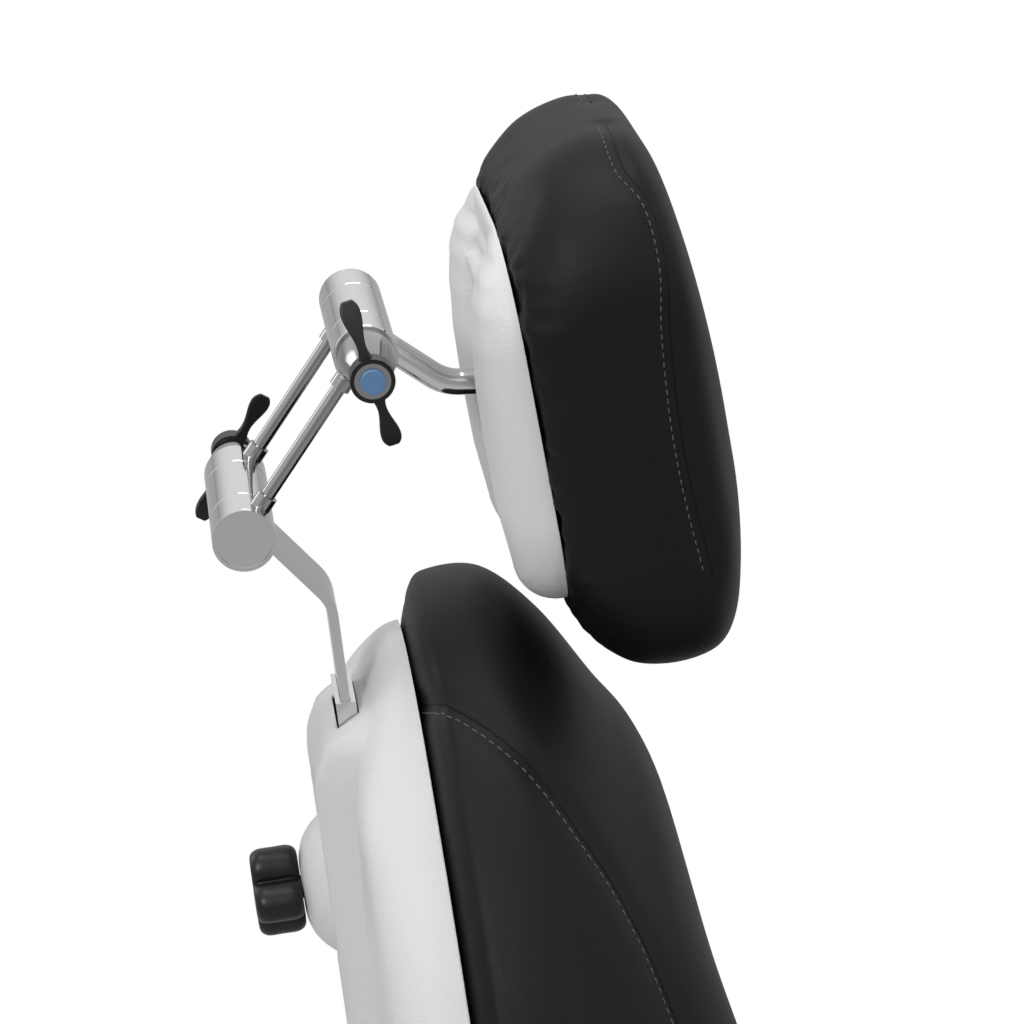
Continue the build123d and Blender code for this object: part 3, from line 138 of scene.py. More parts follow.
black = (0.0075, 0.0068, 0.0068)
M = {
    "moulded_white": material(
        "moulded_white", (0.80, 0.795, 0.785), 0.46, grain=("leather", 620, 0.3, 0.0007), spec=0.35
    ),
    "white_metal": material("white_metal", (0.78, 0.78, 0.77), 0.3, grain=("noise", 240, 0.04, 0.0004)),
    "black_leather": material(
        "black_leather", black, 0.5, grain=("leather", 760, 0.3, 0.0005), spec=0.16, vary=0.05
    ),
    "chrome": material("chrome", (0.6, 0.6, 0.61), 0.07, 1.0, grain=("noise", 60, 0.015, 0.0006)),
    # Chrome with its colour lowered to 0.33: painted dark reflections, a shaded copy of the chrome above
    "chrome_painted_darker": material(
        "chrome_painted_darker", (0.33, 0.33, 0.34), 0.14, 1.0, grain=("noise", 60, 0.015, 0.0006)
    ),
    "steel": material("steel", (0.5, 0.5, 0.5), 0.3, 1.0, grain=("noise", 400, 0.06, 0.0003)),
    "grey_metal": material("grey_metal", (0.1, 0.105, 0.11), 0.4, grain=("noise", 500, 0.08, 0.0003)),
    "bronze": material("bronze", (0.5, 0.33, 0.13), 0.3, 1.0, grain=("noise", 300, 0.05, 0.0003)),
    "grey_plastic": material("grey_plastic", (0.4, 0.41, 0.42), 0.42, grain=("noise", 700, 0.08, 0.0003)),
    "black_plastic": material(
        "black_plastic", (0.009, 0.009, 0.0095), 0.34, spec=0.3, grain=("noise", 500, 0.05, 0.0003)
    ),
    "blue_plastic": material("blue_plastic", (0.113, 0.245, 0.44), 0.4, grain=("noise", 500, 0.04, 0.0003)),
    "rubber": material("rubber", (0.02, 0.02, 0.02), 0.65, grain=("noise", 500, 0.15, 0.0004)),
    "thread": material("thread", (0.12, 0.12, 0.122), 0.6, spec=0.2, grain=("noise", 2500, 0.3, 0.0002)),
    "seam": material("seam", (0.004, 0.004, 0.004), 0.5, spec=0.12, grain=("noise", 900, 0.1, 0.0002)),
}
FINISH = {
    "moulded_white": "base_cover seat_tray leg_shell control_box back_shell headrest_shell",
    "white_metal": "column_outer column_middle column_inner",
    "black_leather": "seat_cushion back_cushion headrest_cushion leg_cushion arm_pad_left arm_pad_right",
    "chrome": "bar_collar headrest_bar headrest_tube lower_hub upper_hub link_ends end_caps",
    # The link rods and lever hubs get the chrome copy darkened by painted reflection shade
    "chrome_painted_darker": "upper_lever_hub lower_lever_hub link_rods",
    "steel": "foot_bolts seat_bolts clamp_bolts clamp_nut clamp_screw lift_rod lift_stage back_shaft leg_shaft "
    "arm_pins foot_bars bar_guide",
    "grey_metal": "base_plate seat_frame side_plates back_frame leg_frame foot_plate arm_posts arm_bar_left "
    "arm_bar_right head_plate lift_motor",
    "bronze": "hinge_bushes",
    "grey_plastic": "collar_lower collar_upper hinge_drives",
    "black_plastic": "clamp_knob upper_lever_wings lower_lever_wings lower_lever_cap inlet_unit rocker",
    "blue_plastic": "upper_lever_cap",
    "rubber": "foot_pad",
}
for finish, names in FINISH.items():
    for node in names.split():
        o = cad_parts[node]
        o.data.materials.clear()
        o.data.materials.append(M[finish])


# Mesh helpers
def shown(name, mesh, finish, body):
    obj = bpy.data.objects.new(name, mesh)
    bpy.context.scene.collection.objects.link(obj)
    mesh.materials.clear()
    mesh.materials.append(M[finish])
    mesh.polygons.foreach_set("use_smooth", [True] * len(mesh.polygons))
    mesh.update()
    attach(obj, body)
    return obj


def closed(name, verts, faces):
    mesh = bpy.data.meshes.new(name)
    mesh.from_pydata(verts, [], faces)
    bm = bmesh.new()
    bm.from_mesh(mesh)
    bmesh.ops.recalc_face_normals(bm, faces=bm.faces)
    bm.to_mesh(mesh)
    bm.free()
    return mesh


def ring_mesh(name, rings):
    """Closed skin through rings of equal count, with a centre point on the first and last."""
    count = len(rings[0])
    verts = [p for ring in rings for p in ring]
    faces = []
    for k in range(len(rings) - 1):
        a, b = k * count, (k + 1) * count
        faces += [(a + i, a + (i + 1) % count, b + (i + 1) % count, b + i) for i in range(count)]
    for k in (0, len(rings) - 1):
        mid = sum(rings[k], Vector()) / count
        verts.append(mid)
        c, a = len(verts) - 1, k * count
        faces += [(a + i, a + (i + 1) % count, c) for i in range(count)]
    return closed(name, verts, faces)


def smooth(table, steps):
    """Points of a table at even steps of its index, by a spline through its rows."""
    rows, last, out = len(table), len(table) - 1, []
    for k in range(steps + 1):
        s = k / steps * last
        i = min(int(s), last - 1)
        t = s - i
        p1, p2 = table[i], table[i + 1]
        p0 = table[i - 1] if i else [2 * a - b for a, b in zip(p1, p2)]
        p3 = table[i + 2] if i + 2 < rows else [2 * b - a for a, b in zip(p1, p2)]
        out.append(
            [
                0.5
                * (2 * b + (c - a) * t + (2 * a - 5 * b + 4 * c - d) * t * t + (3 * b - a - 3 * c + d) * t**3)
                for a, b, c, d in zip(p0, p1, p2, p3)
            ]
        )
    return out


def resample(line, count):
    length = [0]
    for a, b in zip(line, line[1:]):
        length.append(length[-1] + math.dist(a, b))
    out, k = [], 0
    for i in range(count):
        want = length[-1] * i / (count - 1)
        while k < len(line) - 2 and length[k + 1] < want:
            k += 1
        share = (want - length[k]) / max(length[k + 1] - length[k], 1e-9)
        out.append(tuple(a + (b - a) * share for a, b in zip(line[k], line[k + 1])))
    return out


def both_sides(half):
    """Closed outline from its right half, given from the top centre to the bottom centre."""
    return half + [(-x, u) for x, u in half[-2:0:-1]]


def arc(centre, radius, a0, a1, steps=24):
    return [
        (centre[0] + radius * math.cos(a), centre[1] + radius * math.sin(a))
        for a in [a0 + (a1 - a0) * i / steps for i in range(steps + 1)]
    ]


def shield(top, half, foot_half, bottom, corner, count=180):
    """Outline of the back: crown arc, shoulder arcs, straight sides, round lower corners."""
    w = half / 265
    cx, cy, spring = 110 * w, top - 37 * w, top - 349 * w
    r = (cx * cx + (top - cy) ** 2) / (2 * (top - cy))
    a = math.atan2(cy - (top - r), cx)
    line = arc((0, top - r), r, math.pi / 2, a)
    inward = Vector((0, top - r)) - Vector((cx, cy))
    inward.normalize()
    way = Vector((half, spring)) - Vector((cx, cy))
    m = way.length_squared / (2 * inward.dot(way))
    c2 = Vector((cx, cy)) + inward * m
    line += arc(c2, m, math.atan2(cy - c2.y, cx - c2.x), math.atan2(spring - c2.y, half - c2.x))[1:]
    line += arc((foot_half - corner, bottom + corner), corner, 0, -math.pi / 2)
    line.append((0, bottom))
    return both_sides(resample(line, count))


def slab(low_u, high_u, half, corner, count=120):
    """Rounded rectangle between two heights."""
    corner = min(corner, half - 0.5, (high_u - low_u) / 2 - 0.5)
    line = [(0, high_u)] + arc((half - corner, high_u - corner), corner, math.pi / 2, 0)
    line += arc((half - corner, low_u + corner), corner, 0, -math.pi / 2) + [(0, low_u)]
    return both_sides(resample(line, count))


def shrink(outline, share, mid_low, mid_high):
    """Outline drawn towards a line up its middle."""
    return [(x * share, c + (u - c) * share) for x, u in outline for c in [min(max(u, mid_low), mid_high)]]


def reach(node, place):
    """Least and greatest x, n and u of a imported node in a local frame."""
    spots = [place.local(v.co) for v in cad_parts[node].data.vertices]
    return [min(p[k] for p in spots) for k in range(3)], [max(p[k] for p in spots) for k in range(3)]


def bell(x, width):
    return math.exp(-((x / width) ** 2))


def step(x, a, b):
    t = min(max((x - a) / (b - a), 0), 1)
    return t * t * (3 - 2 * t)


def tree_of(obj_or_mesh):
    mesh = obj_or_mesh if isinstance(obj_or_mesh, bpy.types.Mesh) else obj_or_mesh.data
    faces = [tuple(p.vertices) for p in mesh.polygons]
    return BVHTree.FromPolygons([v.co.copy() for v in mesh.vertices], faces)


def cast(tree, points):
    """Where the photograph's view lines through these points meet a surface."""
    hits = []
    for px, py in points:
        hit = tree.ray_cast(EYE, ray(px, py))
        if hit[0] is not None:
            hits.append(hit[0])
    return hits


def spline(points, gap):
    """Even points along a smooth line through the given ones."""
    dense = [Vector(p) for p in smooth([tuple(p) for p in points], 40 * (len(points) - 1))]
    out, left = [dense[0]], gap
    for a, b in zip(dense, dense[1:]):
        way = (b - a).length
        while way >= left:
            a = a + (b - a) * (left / way)
            out.append(a.copy())
            way, left = (b - a).length, gap
        left -= way
    return out


def onto(tree, points):
    found = [tree.find_nearest(p) for p in points]
    return [f[0] for f in found], [f[1] for f in found]


def dip(mesh, line, depth, width):
    """Press the surface in along a sewn line."""
    kd = KDTree(len(line))
    for i, p in enumerate(line):
        kd.insert(p, i)
    kd.balance()
    normals = [v.normal.copy() for v in mesh.vertices]
    for v, nrm in zip(mesh.vertices, normals):
        gap = kd.find(v.co)[2]
        if gap < 3 * width:
            v.co -= nrm * depth * bell(gap, width)
    mesh.update()


def tube(verts, faces, line, normals, radius, sides=8, sink=0.4):
    start = len(verts)
    for i, p in enumerate(line):
        way = (line[min(i + 1, len(line) - 1)] - line[max(i - 1, 0)]).normalized()
        side = way.cross(normals[i]).normalized()
        lift = side.cross(way)
        centre = p - normals[i] * radius * sink
        for k in range(sides):
            a = 2 * math.pi * k / sides
            verts.append(centre + (side * math.cos(a) + lift * math.sin(a)) * radius)
    for i in range(len(line) - 1):
        for k in range(sides):
            a, b = start + i * sides, start + (i + 1) * sides
            faces.append((a + k, a + (k + 1) % sides, b + (k + 1) % sides, b + k))
    faces.append(tuple(start + k for k in range(sides)))
    faces.append(tuple(start + (len(line) - 1) * sides + k for k in range(sides)))


def stitch(verts, faces, p, way, nrm, length, radius):
    """One stitch: a short thread that dives into the cover at both ends."""
    line = []
    for k in range(7):
        s = -1 + k / 3
        line.append(p + way * length * s / 2 - nrm * radius * (2.2 * s**4 - 0.5))
    tube(verts, faces, line, [nrm] * len(line), radius, 6, 0)


def sewn(name, tree, line, body, welt=0.9, offset=5.5, side=1, pitch=6.5, dash=4.2, thread=0.5):
    """A seam with a row of stitches beside it, laid on a surface."""
    pts, nrm = onto(tree, line)
    verts, faces = [], []
    tube(verts, faces, pts, nrm, welt * MM)
    shown(name + "_seam", closed(name + "_seam", verts, faces), "seam", body)
    moved = []
    for i, p in enumerate(pts):
        way = (pts[min(i + 1, len(pts) - 1)] - pts[max(i - 1, 0)]).normalized()
        moved.append(p + way.cross(nrm[i]).normalized() * offset * side * MM)
    row, ups = onto(tree, spline(moved, pitch * MM))
    verts, faces = [], []
    for i in range(1, len(row) - 1):
        way = (row[i + 1] - row[i - 1]).normalized()
        stitch(verts, faces, row[i], way, ups[i], dash * MM, thread * MM)
    shown(name + "_stitches", closed(name + "_stitches", verts, faces), "thread", body)


def mirrored(points):
    return [Vector((-p.x, p.y, p.z)) for p in points]


# Back cushion: rings from the rim to the crown, a long dish between two wings on its front
BACK_RINGS = (
    (0, -0.012, 0.962, 0.02),
    (0.05, 0.03, 1.005, 0.008),
    (0.12, 0.045, 1.03, 0.003),
    (0.31, 0.04, 1.053, 0),
    (0.49, -0.007, 1.045, 0.012),
    (0.65, -0.076, 0.996, 0.059),
    (0.775, -0.131, 0.906, 0.118),
    (0.9, -0.235, 0.736, 0.206),
    (0.985, -0.37, 0.42, 0.33),
    (1, -0.44, 0.2, 0.40),
)
rings = []
for t, top, half, foot in smooth(BACK_RINGS, 96):
    outline = shield(705 + 680 * top, 265 * half, 245 * half, 25 + 680 * foot, min(45 + 30 * t, 140 * half))
    ring = []
    for x, u in outline:
        n = -178 * t
        below = step(705 - u, 95, 260) * step(u, 60, 200)
        front = step(t, 0.35, 0.85)
        n += front * below * (24 * bell(x, 78) - 9 * bell(abs(x) - 158, 44))
        ring.append(BACK(x, n, u))
    rings.append(ring)
back_mesh = ring_mesh("back_cushion_cover", rings)
normals = [v.normal.copy() for v in back_mesh.vertices]
for v, normal in zip(back_mesh.vertices, normals):
    v.co += normal * 0.0008 * noise.noise(v.co * 9)
back_mesh.update()
rough_tree = tree_of(back_mesh)
BACK_SEAM = (
    (409, 708),
    (425, 704),
    (445, 704),
    (490, 729),
    (540, 774),
    (580, 829),
    (620, 890),
    (650, 948),
    (675, 1008),
    (694, 1060),
)
near = spline(cast(rough_tree, BACK_SEAM), 3 * MM)
lines = [near, mirrored(near)]
for line in lines:
    dip(back_mesh, line, 2.6 * MM, 9 * MM)
back_cover = shown("back_cushion_cover", back_mesh, "black_leather", "back")
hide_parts("back_cushion")
back_tree = tree_of(back_cover)
sewn("back_near", back_tree, lines[0], "back", side=1)
sewn("back_far", back_tree, lines[1], "back", side=-1)


# Back shell: a moulded pan with a raised spine, ridges along it and a domed boss for the knob
def plateau(x, u):
    """Depth of the shell's rear face behind the rim, before it rounds off to the rim."""
    low_share = step(640 - u, 0, 420)
    half = 50 + 18 * low_share
    edge = abs(x) - half
    spine = 20 * (1 - step(edge, -5, 6)) * (1 - step(u, 655, 678))
    valley = -11 * bell(edge - 14, 10) * (1 - step(u, 590, 660))
    ridge = 2.4 * bell(edge + 9, 6) * (1 - step(u, 640, 660))
    brow = 3.5 * bell(edge - 42, 15) * (1 - step(u, 560, 640))
    inner_edge = half + 52 + 8 * low_share
    panel = -15 * step(abs(x), inner_edge, inner_edge + 9) * (1 - step(u, 405, 436))
    crown = -26 * step(u, 625, 712)
    return 46 + spine + valley + ridge + brow + panel + crown


SHELL_RINGS = (
    (0, 1),
    (0.4, 0.99),
    (0.72, 0.962),
    (0.9, 0.925),
    (0.98, 0.88),
    (1, 0.82),
    (1, 0.6),
    (1, 0.3),
    (1, 0.02),
)


def shell_ring(t, share, inset, thin):
    ring = []
    for x, u in shrink(shield(705 - inset, 265 - inset, 245 - inset, 25 + inset, 45, 150), share, 210, 470):
        ring.append(BACK(x, max(t * plateau(x, u) - thin, 0.4), u))
    return ring


rows = smooth(SHELL_RINGS, 90)
outer = [shell_ring(min(max(t, 0), 1), share, 0, 0) for t, share in rows]
inner = [shell_ring(min(max(t, 0), 1), share, 4, 4) for t, share in rows]
shell_mesh = ring_mesh("back_shell_skin", outer[::-1] + inner)


def cut_out(mesh, boxes):
    """Cuts boxes and round holes, given as rings of points, out of a closed mesh."""
    verts, faces = [], []
    for ends in boxes:
        base, count = len(verts), len(ends[0])
        verts += [p for ring in ends for p in ring]
        far = base + count
        faces += [tuple(range(base, far)), tuple(range(far + count - 1, far - 1, -1))]
        for i in range(count):
            j = (i + 1) % count
            faces.append((base + i, far + i, far + j, base + j))
    tool = bpy.data.objects.new("cutter", closed("cutter", verts, faces))
    work = bpy.data.objects.new("work", mesh)
    for o in (tool, work):
        bpy.context.scene.collection.objects.link(o)
    m = work.modifiers.new("cut", "BOOLEAN")
    m.object, m.operation, m.solver = tool, "DIFFERENCE", "EXACT"
    made = bpy.data.meshes.new_from_object(work.evaluated_get(bpy.context.evaluated_depsgraph_get()))
    for o in (tool, work):
        bpy.data.objects.remove(o)
    return made


def block(place, x0, x1, n0, n1, u0, u1):
    corners = ((x0, u0), (x1, u0), (x1, u1), (x0, u1))
    return [[place(x, n, u) for x, u in corners] for n in (n0, n1)]


def hole(place, radius, n0, n1, u):
    turn = [2 * math.pi * k / 32 for k in range(32)]
    return [[place(radius * math.cos(a), n, u + radius * math.sin(a)) for a in turn] for n in (n0, n1)]


(x0, n0, u0), (x1, n1, u1) = reach("bar_collar", BACK)
shell_mesh = cut_out(
    shell_mesh,
    [block(BACK, x0 - 1, x1 + 1, min(n0, 40) - 1, n1 + 1, u0 - 1, u1 + 60), hole(BACK, 6.5, 20, 90, 550)]
    + [block(BACK, *sorted((side * 158, side * 170)), 3, 60, -5, 77) for side in (-1, 1)],
)
back_skin = shown("back_shell_skin", shell_mesh, "moulded_white", "back")
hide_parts("back_shell")
BOSS_STEPS = 54
BOSS_TURNS = 96
BOSS_U = 550
BOSS_ROWS = (
    (46, 60),
    (45, 64.5),
    (42.5, 69),
    (37, 75),
    (30, 80),
    (22, 83),
    (15, 84),
    (8, 84),
    (6.6, 83),
    (6.6, 60),
)
turns = [2 * math.pi * k / BOSS_TURNS for k in range(BOSS_TURNS)]
boss_verts = [
    BACK(r * math.cos(a), n, BOSS_U + r * math.sin(a))
    for r, n in smooth(BOSS_ROWS, BOSS_STEPS)
    for a in turns
]
boss_faces = []
for k in range(BOSS_STEPS + 1):
    a, b = k * BOSS_TURNS, (k + 1) % (BOSS_STEPS + 1) * BOSS_TURNS
    for i in range(BOSS_TURNS):
        j = (i + 1) % BOSS_TURNS
        boss_faces.append((a + i, a + j, b + j, b + i))
shown("knob_boss", closed("knob_boss", boss_verts, boss_faces), "moulded_white", "back")

# Headrest shell: two full lobes with a channel between them, deep enough for the plate inside
LOBE_DEPTHS = (
    (-150, 20),
    (-120, 28),
    (-80, 31),
    (-40, 31),
    (-10, 30),
    (20, 27),
    (42, 23),
    (58, 17),
    (70, 9),
    (84, 5),
)
plate_low, plate_high = reach("head_plate", HEAD)
plate_half, plate_n, plate_top = plate_high
plate_foot = plate_low[2]
plate_cover = plate_n + 6.5


def lobes(x, u):
    """Depth of the headrest shell's rear face behind the rim."""
    n = LOBE_DEPTHS[0][1] if u <= LOBE_DEPTHS[0][0] else LOBE_DEPTHS[-1][1]
    for (u0, n0), (u1, n1) in zip(LOBE_DEPTHS, LOBE_DEPTHS[1:]):
        if u0 <= u <= u1:
            n = n0 + (n1 - n0) * (0.5 * step(u, u0, u1) + 0.5 * (u - u0) / (u1 - u0))
    channel = (1 - step(abs(x), 23, 33)) * max(n - plate_cover, 0)
    round_off = 6 * min(((abs(x) - 64) / 36) ** 2, 1.3)
    over_plate = (1 - step(abs(x), plate_half + 4, plate_half + 10)) * step(u, plate_foot - 12, plate_foot - 5)
    over_plate *= 1 - step(u, plate_top + 5, plate_top + 12)
    return max(n - channel - round_off, 4.5, over_plate * plate_cover)


def head_ring(t, share, inset, thin):
    return [
        HEAD(x, max(t * lobes(x, u) - thin, 0.4), u)
        for x, u in shrink(slab(-150 + inset, 84 - inset, 106 - inset, 66, 130), share, -60, 0)
    ]


HEAD_SHELL = (
    (0, 1),
    (0.35, 0.992),
    (0.68, 0.965),
    (0.88, 0.925),
    (0.97, 0.88),
    (1, 0.82),
    (1, 0.6),
    (1, 0.3),
    (1, 0.02),
)
rows = smooth(HEAD_SHELL, 70)
outer = [head_ring(min(max(t, 0), 1), share, 0, 0) for t, share in rows]
inner = [head_ring(min(max(t, 0), 1), share, 4, 4) for t, share in rows]
head_shell_mesh = cut_out(ring_mesh("headrest_skin", outer[::-1] + inner), [hole(HEAD, 9.5, 2, 40, -30.5)])
head_skin = shown("headrest_skin", head_shell_mesh, "moulded_white", "headrest")
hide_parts("headrest_shell")

# Headrest cushion: rings from the hem behind to the crown in front
HEAD_RINGS = (
    (1, -150, 80, 104, 64),
    (-2, -160, 89, 111, 68),
    (-12, -180, 102, 118, 74),
    (-29, -196, 116, 123, 80),
    (-49, -203, 124, 125, 84),
    (-70, -203, 126, 125, 84),
    (-86, -198, 122, 122, 84),
    (-97, -184, 104, 113, 80),
    (-105, -162, 68, 94, 70),
    (-111, -138, 22, 69, 56),
    (-115, -116, -40, 36, 30),
    (-116.5, -96, -66, 12, 10),
)
rings = []
for n, low_u, high_u, half, corner in smooth(HEAD_RINGS, 84):
    ring = []
    for k, (x, u) in enumerate(slab(low_u, high_u, half, corner, 150)):
        hem = bell(n - 2, 22)
        fold = noise.noise(Vector((x * 0.045, u * 0.045, 3.1)))
        fine = noise.noise(Vector((x * 0.13, u * 0.13, 7.7)))
        ring.append(HEAD(x * (1 + 0.012 * hem * fold), n + hem * (3.1 * fold + 1.8 * fine - 1.4), u))
    rings.append(ring)
head_mesh = ring_mesh("headrest_cover", rings)
rough_tree = tree_of(head_mesh)
HEAD_SEAM = (
    (607, 97),
    (605, 122),
    (622, 163),
    (650, 200),
    (667, 258),
    (671, 330),
    (680, 420),
    (695, 500),
    (714, 575),
    (733, 630),
)
near = spline(cast(rough_tree, HEAD_SEAM), 3 * MM)
lines = [near, mirrored(near)]
for line in lines:
    dip(head_mesh, line, 1.6 * MM, 7 * MM)
head_cover = shown("headrest_cover", head_mesh, "black_leather", "headrest")
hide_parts("headrest_cushion")
head_tree = tree_of(head_cover)
sewn("head_near", head_tree, lines[0], "headrest", side=1, pitch=5.5, dash=3.4, thread=0.4, welt=0.7)
sewn("head_far", head_tree, lines[1], "headrest", side=-1, pitch=5.5, dash=3.4, thread=0.4, welt=0.7)


# Seat, leg and arm cushions: full sides, a welt round the top edge and a crowned face
PAD_STEPS = 60
PAD_WELT_RING = 42
PAD_RINGS = (
    (0, 0.14),
    (0.06, 0.03),
    (0.2, -0.02),
    (0.42, -0.04),
    (0.62, -0.01),
    (0.78, 0.06),
    (0.88, 0.18),
    (0.95, 0.42),
    (0.985, 0.8),
    (1, 1.3),
)


def pad(name, node, body, place, centre_u, width, length, corner, thick, draw, dish=0.0):
    """Cushion on a plane; place turns (x, height, u) into a point."""
    rings = []
    for level, inset in smooth(PAD_RINGS, PAD_STEPS):
        d = inset * draw
        round_corner = max(corner * (1 - 0.6 * inset), 6)
        outline = slab(-length / 2 + d, length / 2 - d, width / 2 - d, round_corner, 110)
        ring = []
        for x, u in outline:
            h = level * thick - dish * step(level, 0.6, 1) * bell(x, width * 0.3) * bell(u, length * 0.36)
            ring.append(place(x, h, u + centre_u))
        rings.append(ring)
    base = rings[PAD_STEPS]
    mid = sum(base, Vector()) / len(base)
    rings += [[mid + (p - mid) * share for p in base] for share in (0.8, 0.6, 0.4, 0.2, 0.08)]
    mesh = ring_mesh(name, rings)
    edge = rings[PAD_WELT_RING]
    dip(mesh, spline(edge + [edge[0]], 3 * MM), 1.5 * MM, 6 * MM)
    obj = shown(name, mesh, "black_leather", body)
    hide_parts(node)
    sewn(name, tree_of(obj), spline(edge + [edge[0]], 3 * MM), body, welt=1.1, side=1)


pad("seat_cover", "seat_cushion", "seat", lambda x, h, u: FLAT(x, u, 518 + h), -123, 520, 498, 60, 84, 84, 7)
pad("leg_cover", "leg_cushion", "leg", lambda x, h, u: LEG(x, -h, u), -230, 450, 400, 60, 74, 74, 5)
for side, word in ((-1, "left"), (1, "right")):
    pad(
        f"arm_cover_{word}",
        f"arm_pad_{word}",
        f"arm_{word}",
        lambda x, h, u, side=side: FLAT(x + side * 346.5, u, 708 + h),
        -175,
        86,
        400,
        36,
        38,
        24,
    )


# Foot pad: moulded rubber with ribs across its top
(x0, n0, u0), (x1, n1, u1) = reach("foot_pad", LEG)
outline = slab(n0 + 0.5, n1 - 0.5, (x1 - x0) / 2 - 0.5, 26, 130)
mid_n = (n0 + n1) / 2
rings = [[LEG(x * s, mid_n + (n - mid_n) * s, u0 + 0.3) for x, n in outline] for s in (0.3, 0.7, 0.985, 0.998)]
rings += [[LEG(x, n, u0 + (u1 - u0) * t) for x, n in outline] for t in (0.1, 0.45, 0.75)]
for k in range(60):
    share = 0.996 - 0.97 * k / 59
    ring = []
    for x, n in shrink(outline, share, mid_n, mid_n):
        rib = 1.6 * (0.5 - 0.5 * math.cos(2 * math.pi * x / 15)) ** 0.6 * step(1 - share, 0.03, 0.07)
        ring.append(LEG(x, n, u1 - 0.3 - 1.5 * (1 - step(1 - share, 0, 0.02)) - rib))
    rings.append(ring)
foot_cover = shown("foot_pad_ribbed", ring_mesh("foot_pad_ribbed", rings), "rubber", "foot")
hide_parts("foot_pad")

# Clamp knob: four soft round lobes
(x0, n0, u0), (x1, n1, u1) = reach("clamp_knob", BACK)
knob_reach, knob_mid = (x1 - x0) / 2, (u0 + u1) / 2
KNOB_ENDS = (
    (0, 0.3),
    (0, 0.7),
    (0.02, 0.86),
    (0.09, 0.95),
    (0.22, 1),
    (0.5, 1),
    (0.78, 1),
    (0.91, 0.95),
    (0.98, 0.86),
    (1, 0.7),
    (1, 0.3),
)
rings = []
for t, share in smooth(KNOB_ENDS, 40):
    ring = []
    for k in range(160):
        a = 2 * math.pi * k / 160
        off = (a + math.pi / 4) % (math.pi / 2) - math.pi / 4
        lobe = (math.cos(off) + math.sqrt(0.6724 - math.sin(off) ** 2)) / 1.82
        r = knob_reach * (lobe - 0.03 * (1 - bell(off, 0.6))) * share
        ring.append(BACK(r * math.cos(a), n0 + (n1 - n0) * min(max(t, 0), 1), knob_mid + r * math.sin(a)))
    rings.append(ring)
knob = shown("clamp_knob_lobed", ring_mesh("clamp_knob_lobed", rings), "black_plastic", "knob")
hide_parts("clamp_knob")

# Stage: a pale floor that fades to the white backdrop, and soft studio light
def seen(tree, glossy_share):
    """1 for rays from the camera or through glass, and a share of it for rays off polished metal."""
    path = tree.nodes.new("ShaderNodeLightPath")
    share = tree.nodes.new("ShaderNodeMath")
    share.operation = "MULTIPLY"
    share.inputs[1].default_value = glossy_share
    tree.links.new(path.outputs["Is Glossy Ray"], share.inputs[0])
    most = share.outputs[0]
    for ray_kind in ("Is Camera Ray", "Is Transmission Ray"):
        node = tree.nodes.new("ShaderNodeMath")
        node.operation = "MAXIMUM"
        tree.links.new(most, node.inputs[0])
        tree.links.new(path.outputs[ray_kind], node.inputs[1])
        most = node.outputs[0]
    return most


floor = bpy.data.objects.new("floor", bpy.data.meshes.new("floor"))
floor.data.from_pydata([(-60, -60, 0), (60, -60, 0), (60, 60, 0), (-60, 60, 0)], [], [(0, 1, 2, 3)])
bpy.context.scene.collection.objects.link(floor)
pale = bpy.data.materials.new("pale_floor")
pale.use_nodes = True
tree = pale.node_tree
tree.nodes["Principled BSDF"].inputs["Base Color"].default_value = (0.72, 0.72, 0.72, 1)
tree.nodes["Principled BSDF"].inputs["Roughness"].default_value = 0.8
glow = tree.nodes.new("ShaderNodeEmission")
glow.inputs["Color"].default_value = (1, 1, 1, 1)
glow.inputs["Strength"].default_value = 1
spot = tree.nodes.new("ShaderNodeTexCoord")
reach = tree.nodes.new("ShaderNodeVectorMath")
reach.operation = "LENGTH"
fade = tree.nodes.new("ShaderNodeMapRange")
fade.interpolation_type = "SMOOTHSTEP"
fade.inputs["From Min"].default_value = 0.9
fade.inputs["From Max"].default_value = 1.8
fade.inputs["To Min"].default_value = 0.45
both = tree.nodes.new("ShaderNodeMath")
both.operation = "MULTIPLY"
mix = tree.nodes.new("ShaderNodeMixShader")
tree.links.new(spot.outputs["Object"], reach.inputs[0])
tree.links.new(reach.outputs["Value"], fade.inputs["Value"])
tree.links.new(fade.outputs["Result"], both.inputs[0])
tree.links.new(seen(tree, 0.3), both.inputs[1])
tree.links.new(both.outputs[0], mix.inputs["Fac"])
tree.links.new(tree.nodes["Principled BSDF"].outputs["BSDF"], mix.inputs[1])
tree.links.new(glow.outputs["Emission"], mix.inputs[2])
tree.links.new(mix.outputs["Shader"], tree.nodes["Material Output"].inputs["Surface"])
floor.data.materials.append(pale)

world = bpy.data.worlds.new("world")
bpy.context.scene.world = world
world.use_nodes = True
tree = world.node_tree
sky = tree.nodes["Background"]
sky.inputs["Color"].default_value = (0.56, 0.56, 0.57, 1)
sky.inputs["Strength"].default_value = 0.42
white = tree.nodes.new("ShaderNodeBackground")
white.inputs["Color"].default_value = (1, 1, 1, 1)
white.inputs["Strength"].default_value = 1
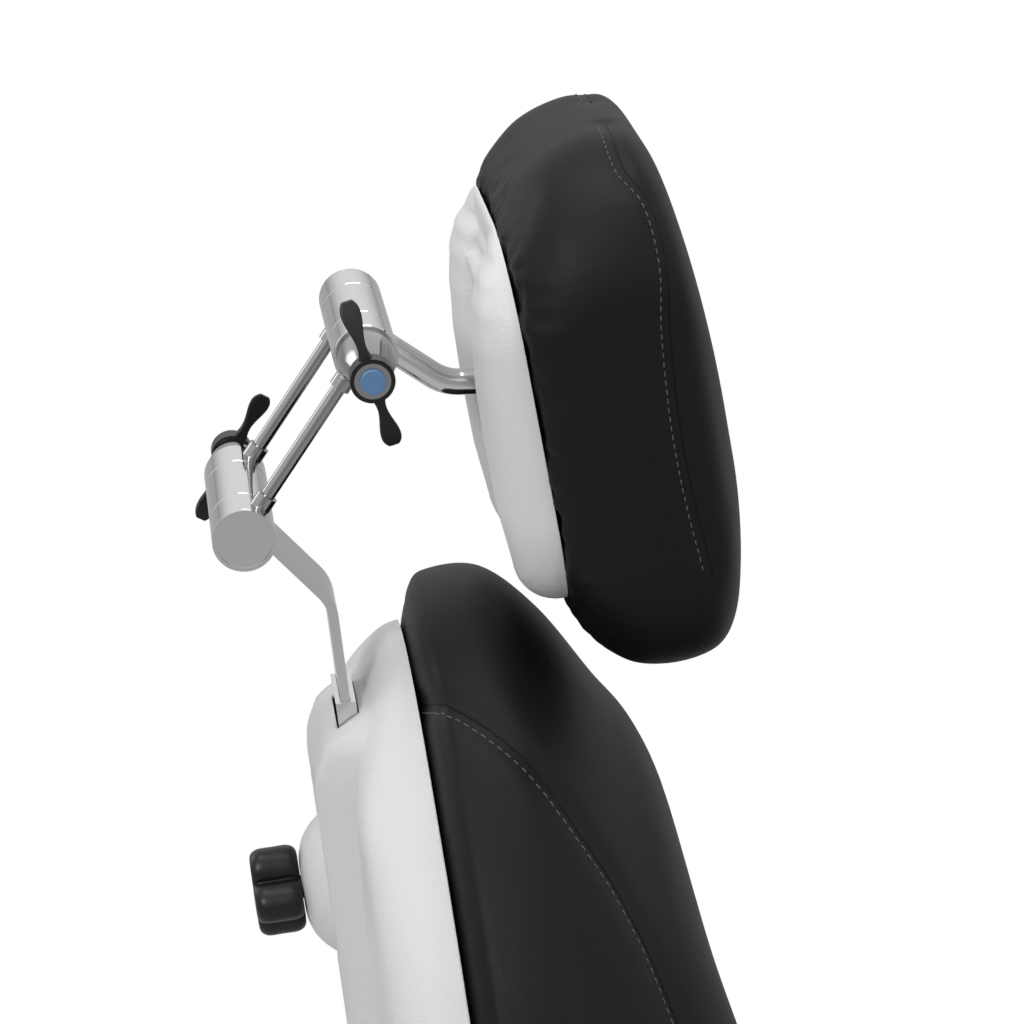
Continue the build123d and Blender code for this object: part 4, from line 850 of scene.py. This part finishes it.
# Rays near the level and above see the white backdrop, and polished metal sees it dim towards the floor
heading = tree.nodes.new("ShaderNodeTexCoord")
parts = tree.nodes.new("ShaderNodeSeparateXYZ")
dusk = tree.nodes.new("ShaderNodeMapRange")
dusk.interpolation_type = "SMOOTHSTEP"
dusk.inputs["From Min"].default_value = -0.2
dusk.inputs["From Max"].default_value = 0.35
dusk.inputs["To Min"].default_value = 0.15
dusk.inputs["To Max"].default_value = 1
tree.links.new(heading.outputs["Generated"], parts.inputs["Vector"])
tree.links.new(parts.outputs["Z"], dusk.inputs["Value"])
camera_only = seen(tree, 0)
with_metal = seen(tree, 1)
dimmed = tree.nodes.new("ShaderNodeMath")
dimmed.operation = "MULTIPLY"
tree.links.new(with_metal, dimmed.inputs[0])
tree.links.new(dusk.outputs["Result"], dimmed.inputs[1])
strength = tree.nodes.new("ShaderNodeMath")
strength.operation = "MAXIMUM"
tree.links.new(dimmed.outputs[0], strength.inputs[0])
tree.links.new(camera_only, strength.inputs[1])
tree.links.new(strength.outputs[0], white.inputs["Strength"])
mix = tree.nodes.new("ShaderNodeMixShader")
tree.links.new(with_metal, mix.inputs["Fac"])
tree.links.new(sky.outputs["Background"], mix.inputs[1])
tree.links.new(white.outputs["Background"], mix.inputs[2])
tree.links.new(mix.outputs["Shader"], tree.nodes["World Output"].inputs["Surface"])


def lamp(name, place, aim, size, power):
    light = bpy.data.lights.new(name, "AREA")
    light.shape = "RECTANGLE"
    light.size, light.size_y = size
    light.energy = power
    obj = bpy.data.objects.new(name, light)
    bpy.context.scene.collection.objects.link(obj)
    obj.location = place
    obj.rotation_mode = "QUATERNION"
    obj.rotation_quaternion = (Vector(aim) - Vector(place)).to_track_quat("-Z", "Y")


lamp("light_key", (-2.4, 2.2, 3.0), (0, 0.35, 1.2), (1.2, 1.2), 46)
lamp("light_top", (-0.2, 0.4, 3.9), (0, 0.3, 1.0), (2.0, 1.4), 34)
lamp("light_side", (-2.6, -1.8, 2.2), (0, 0.1, 1.1), (1.2, 1.8), 7)
lamp("light_rear", (1.6, 2.6, 2.2), (0, 0.4, 1.1), (1.0, 1.8), 12)

scene = bpy.context.scene
scene.view_settings.view_transform = "Standard"
scene.view_settings.exposure = 0
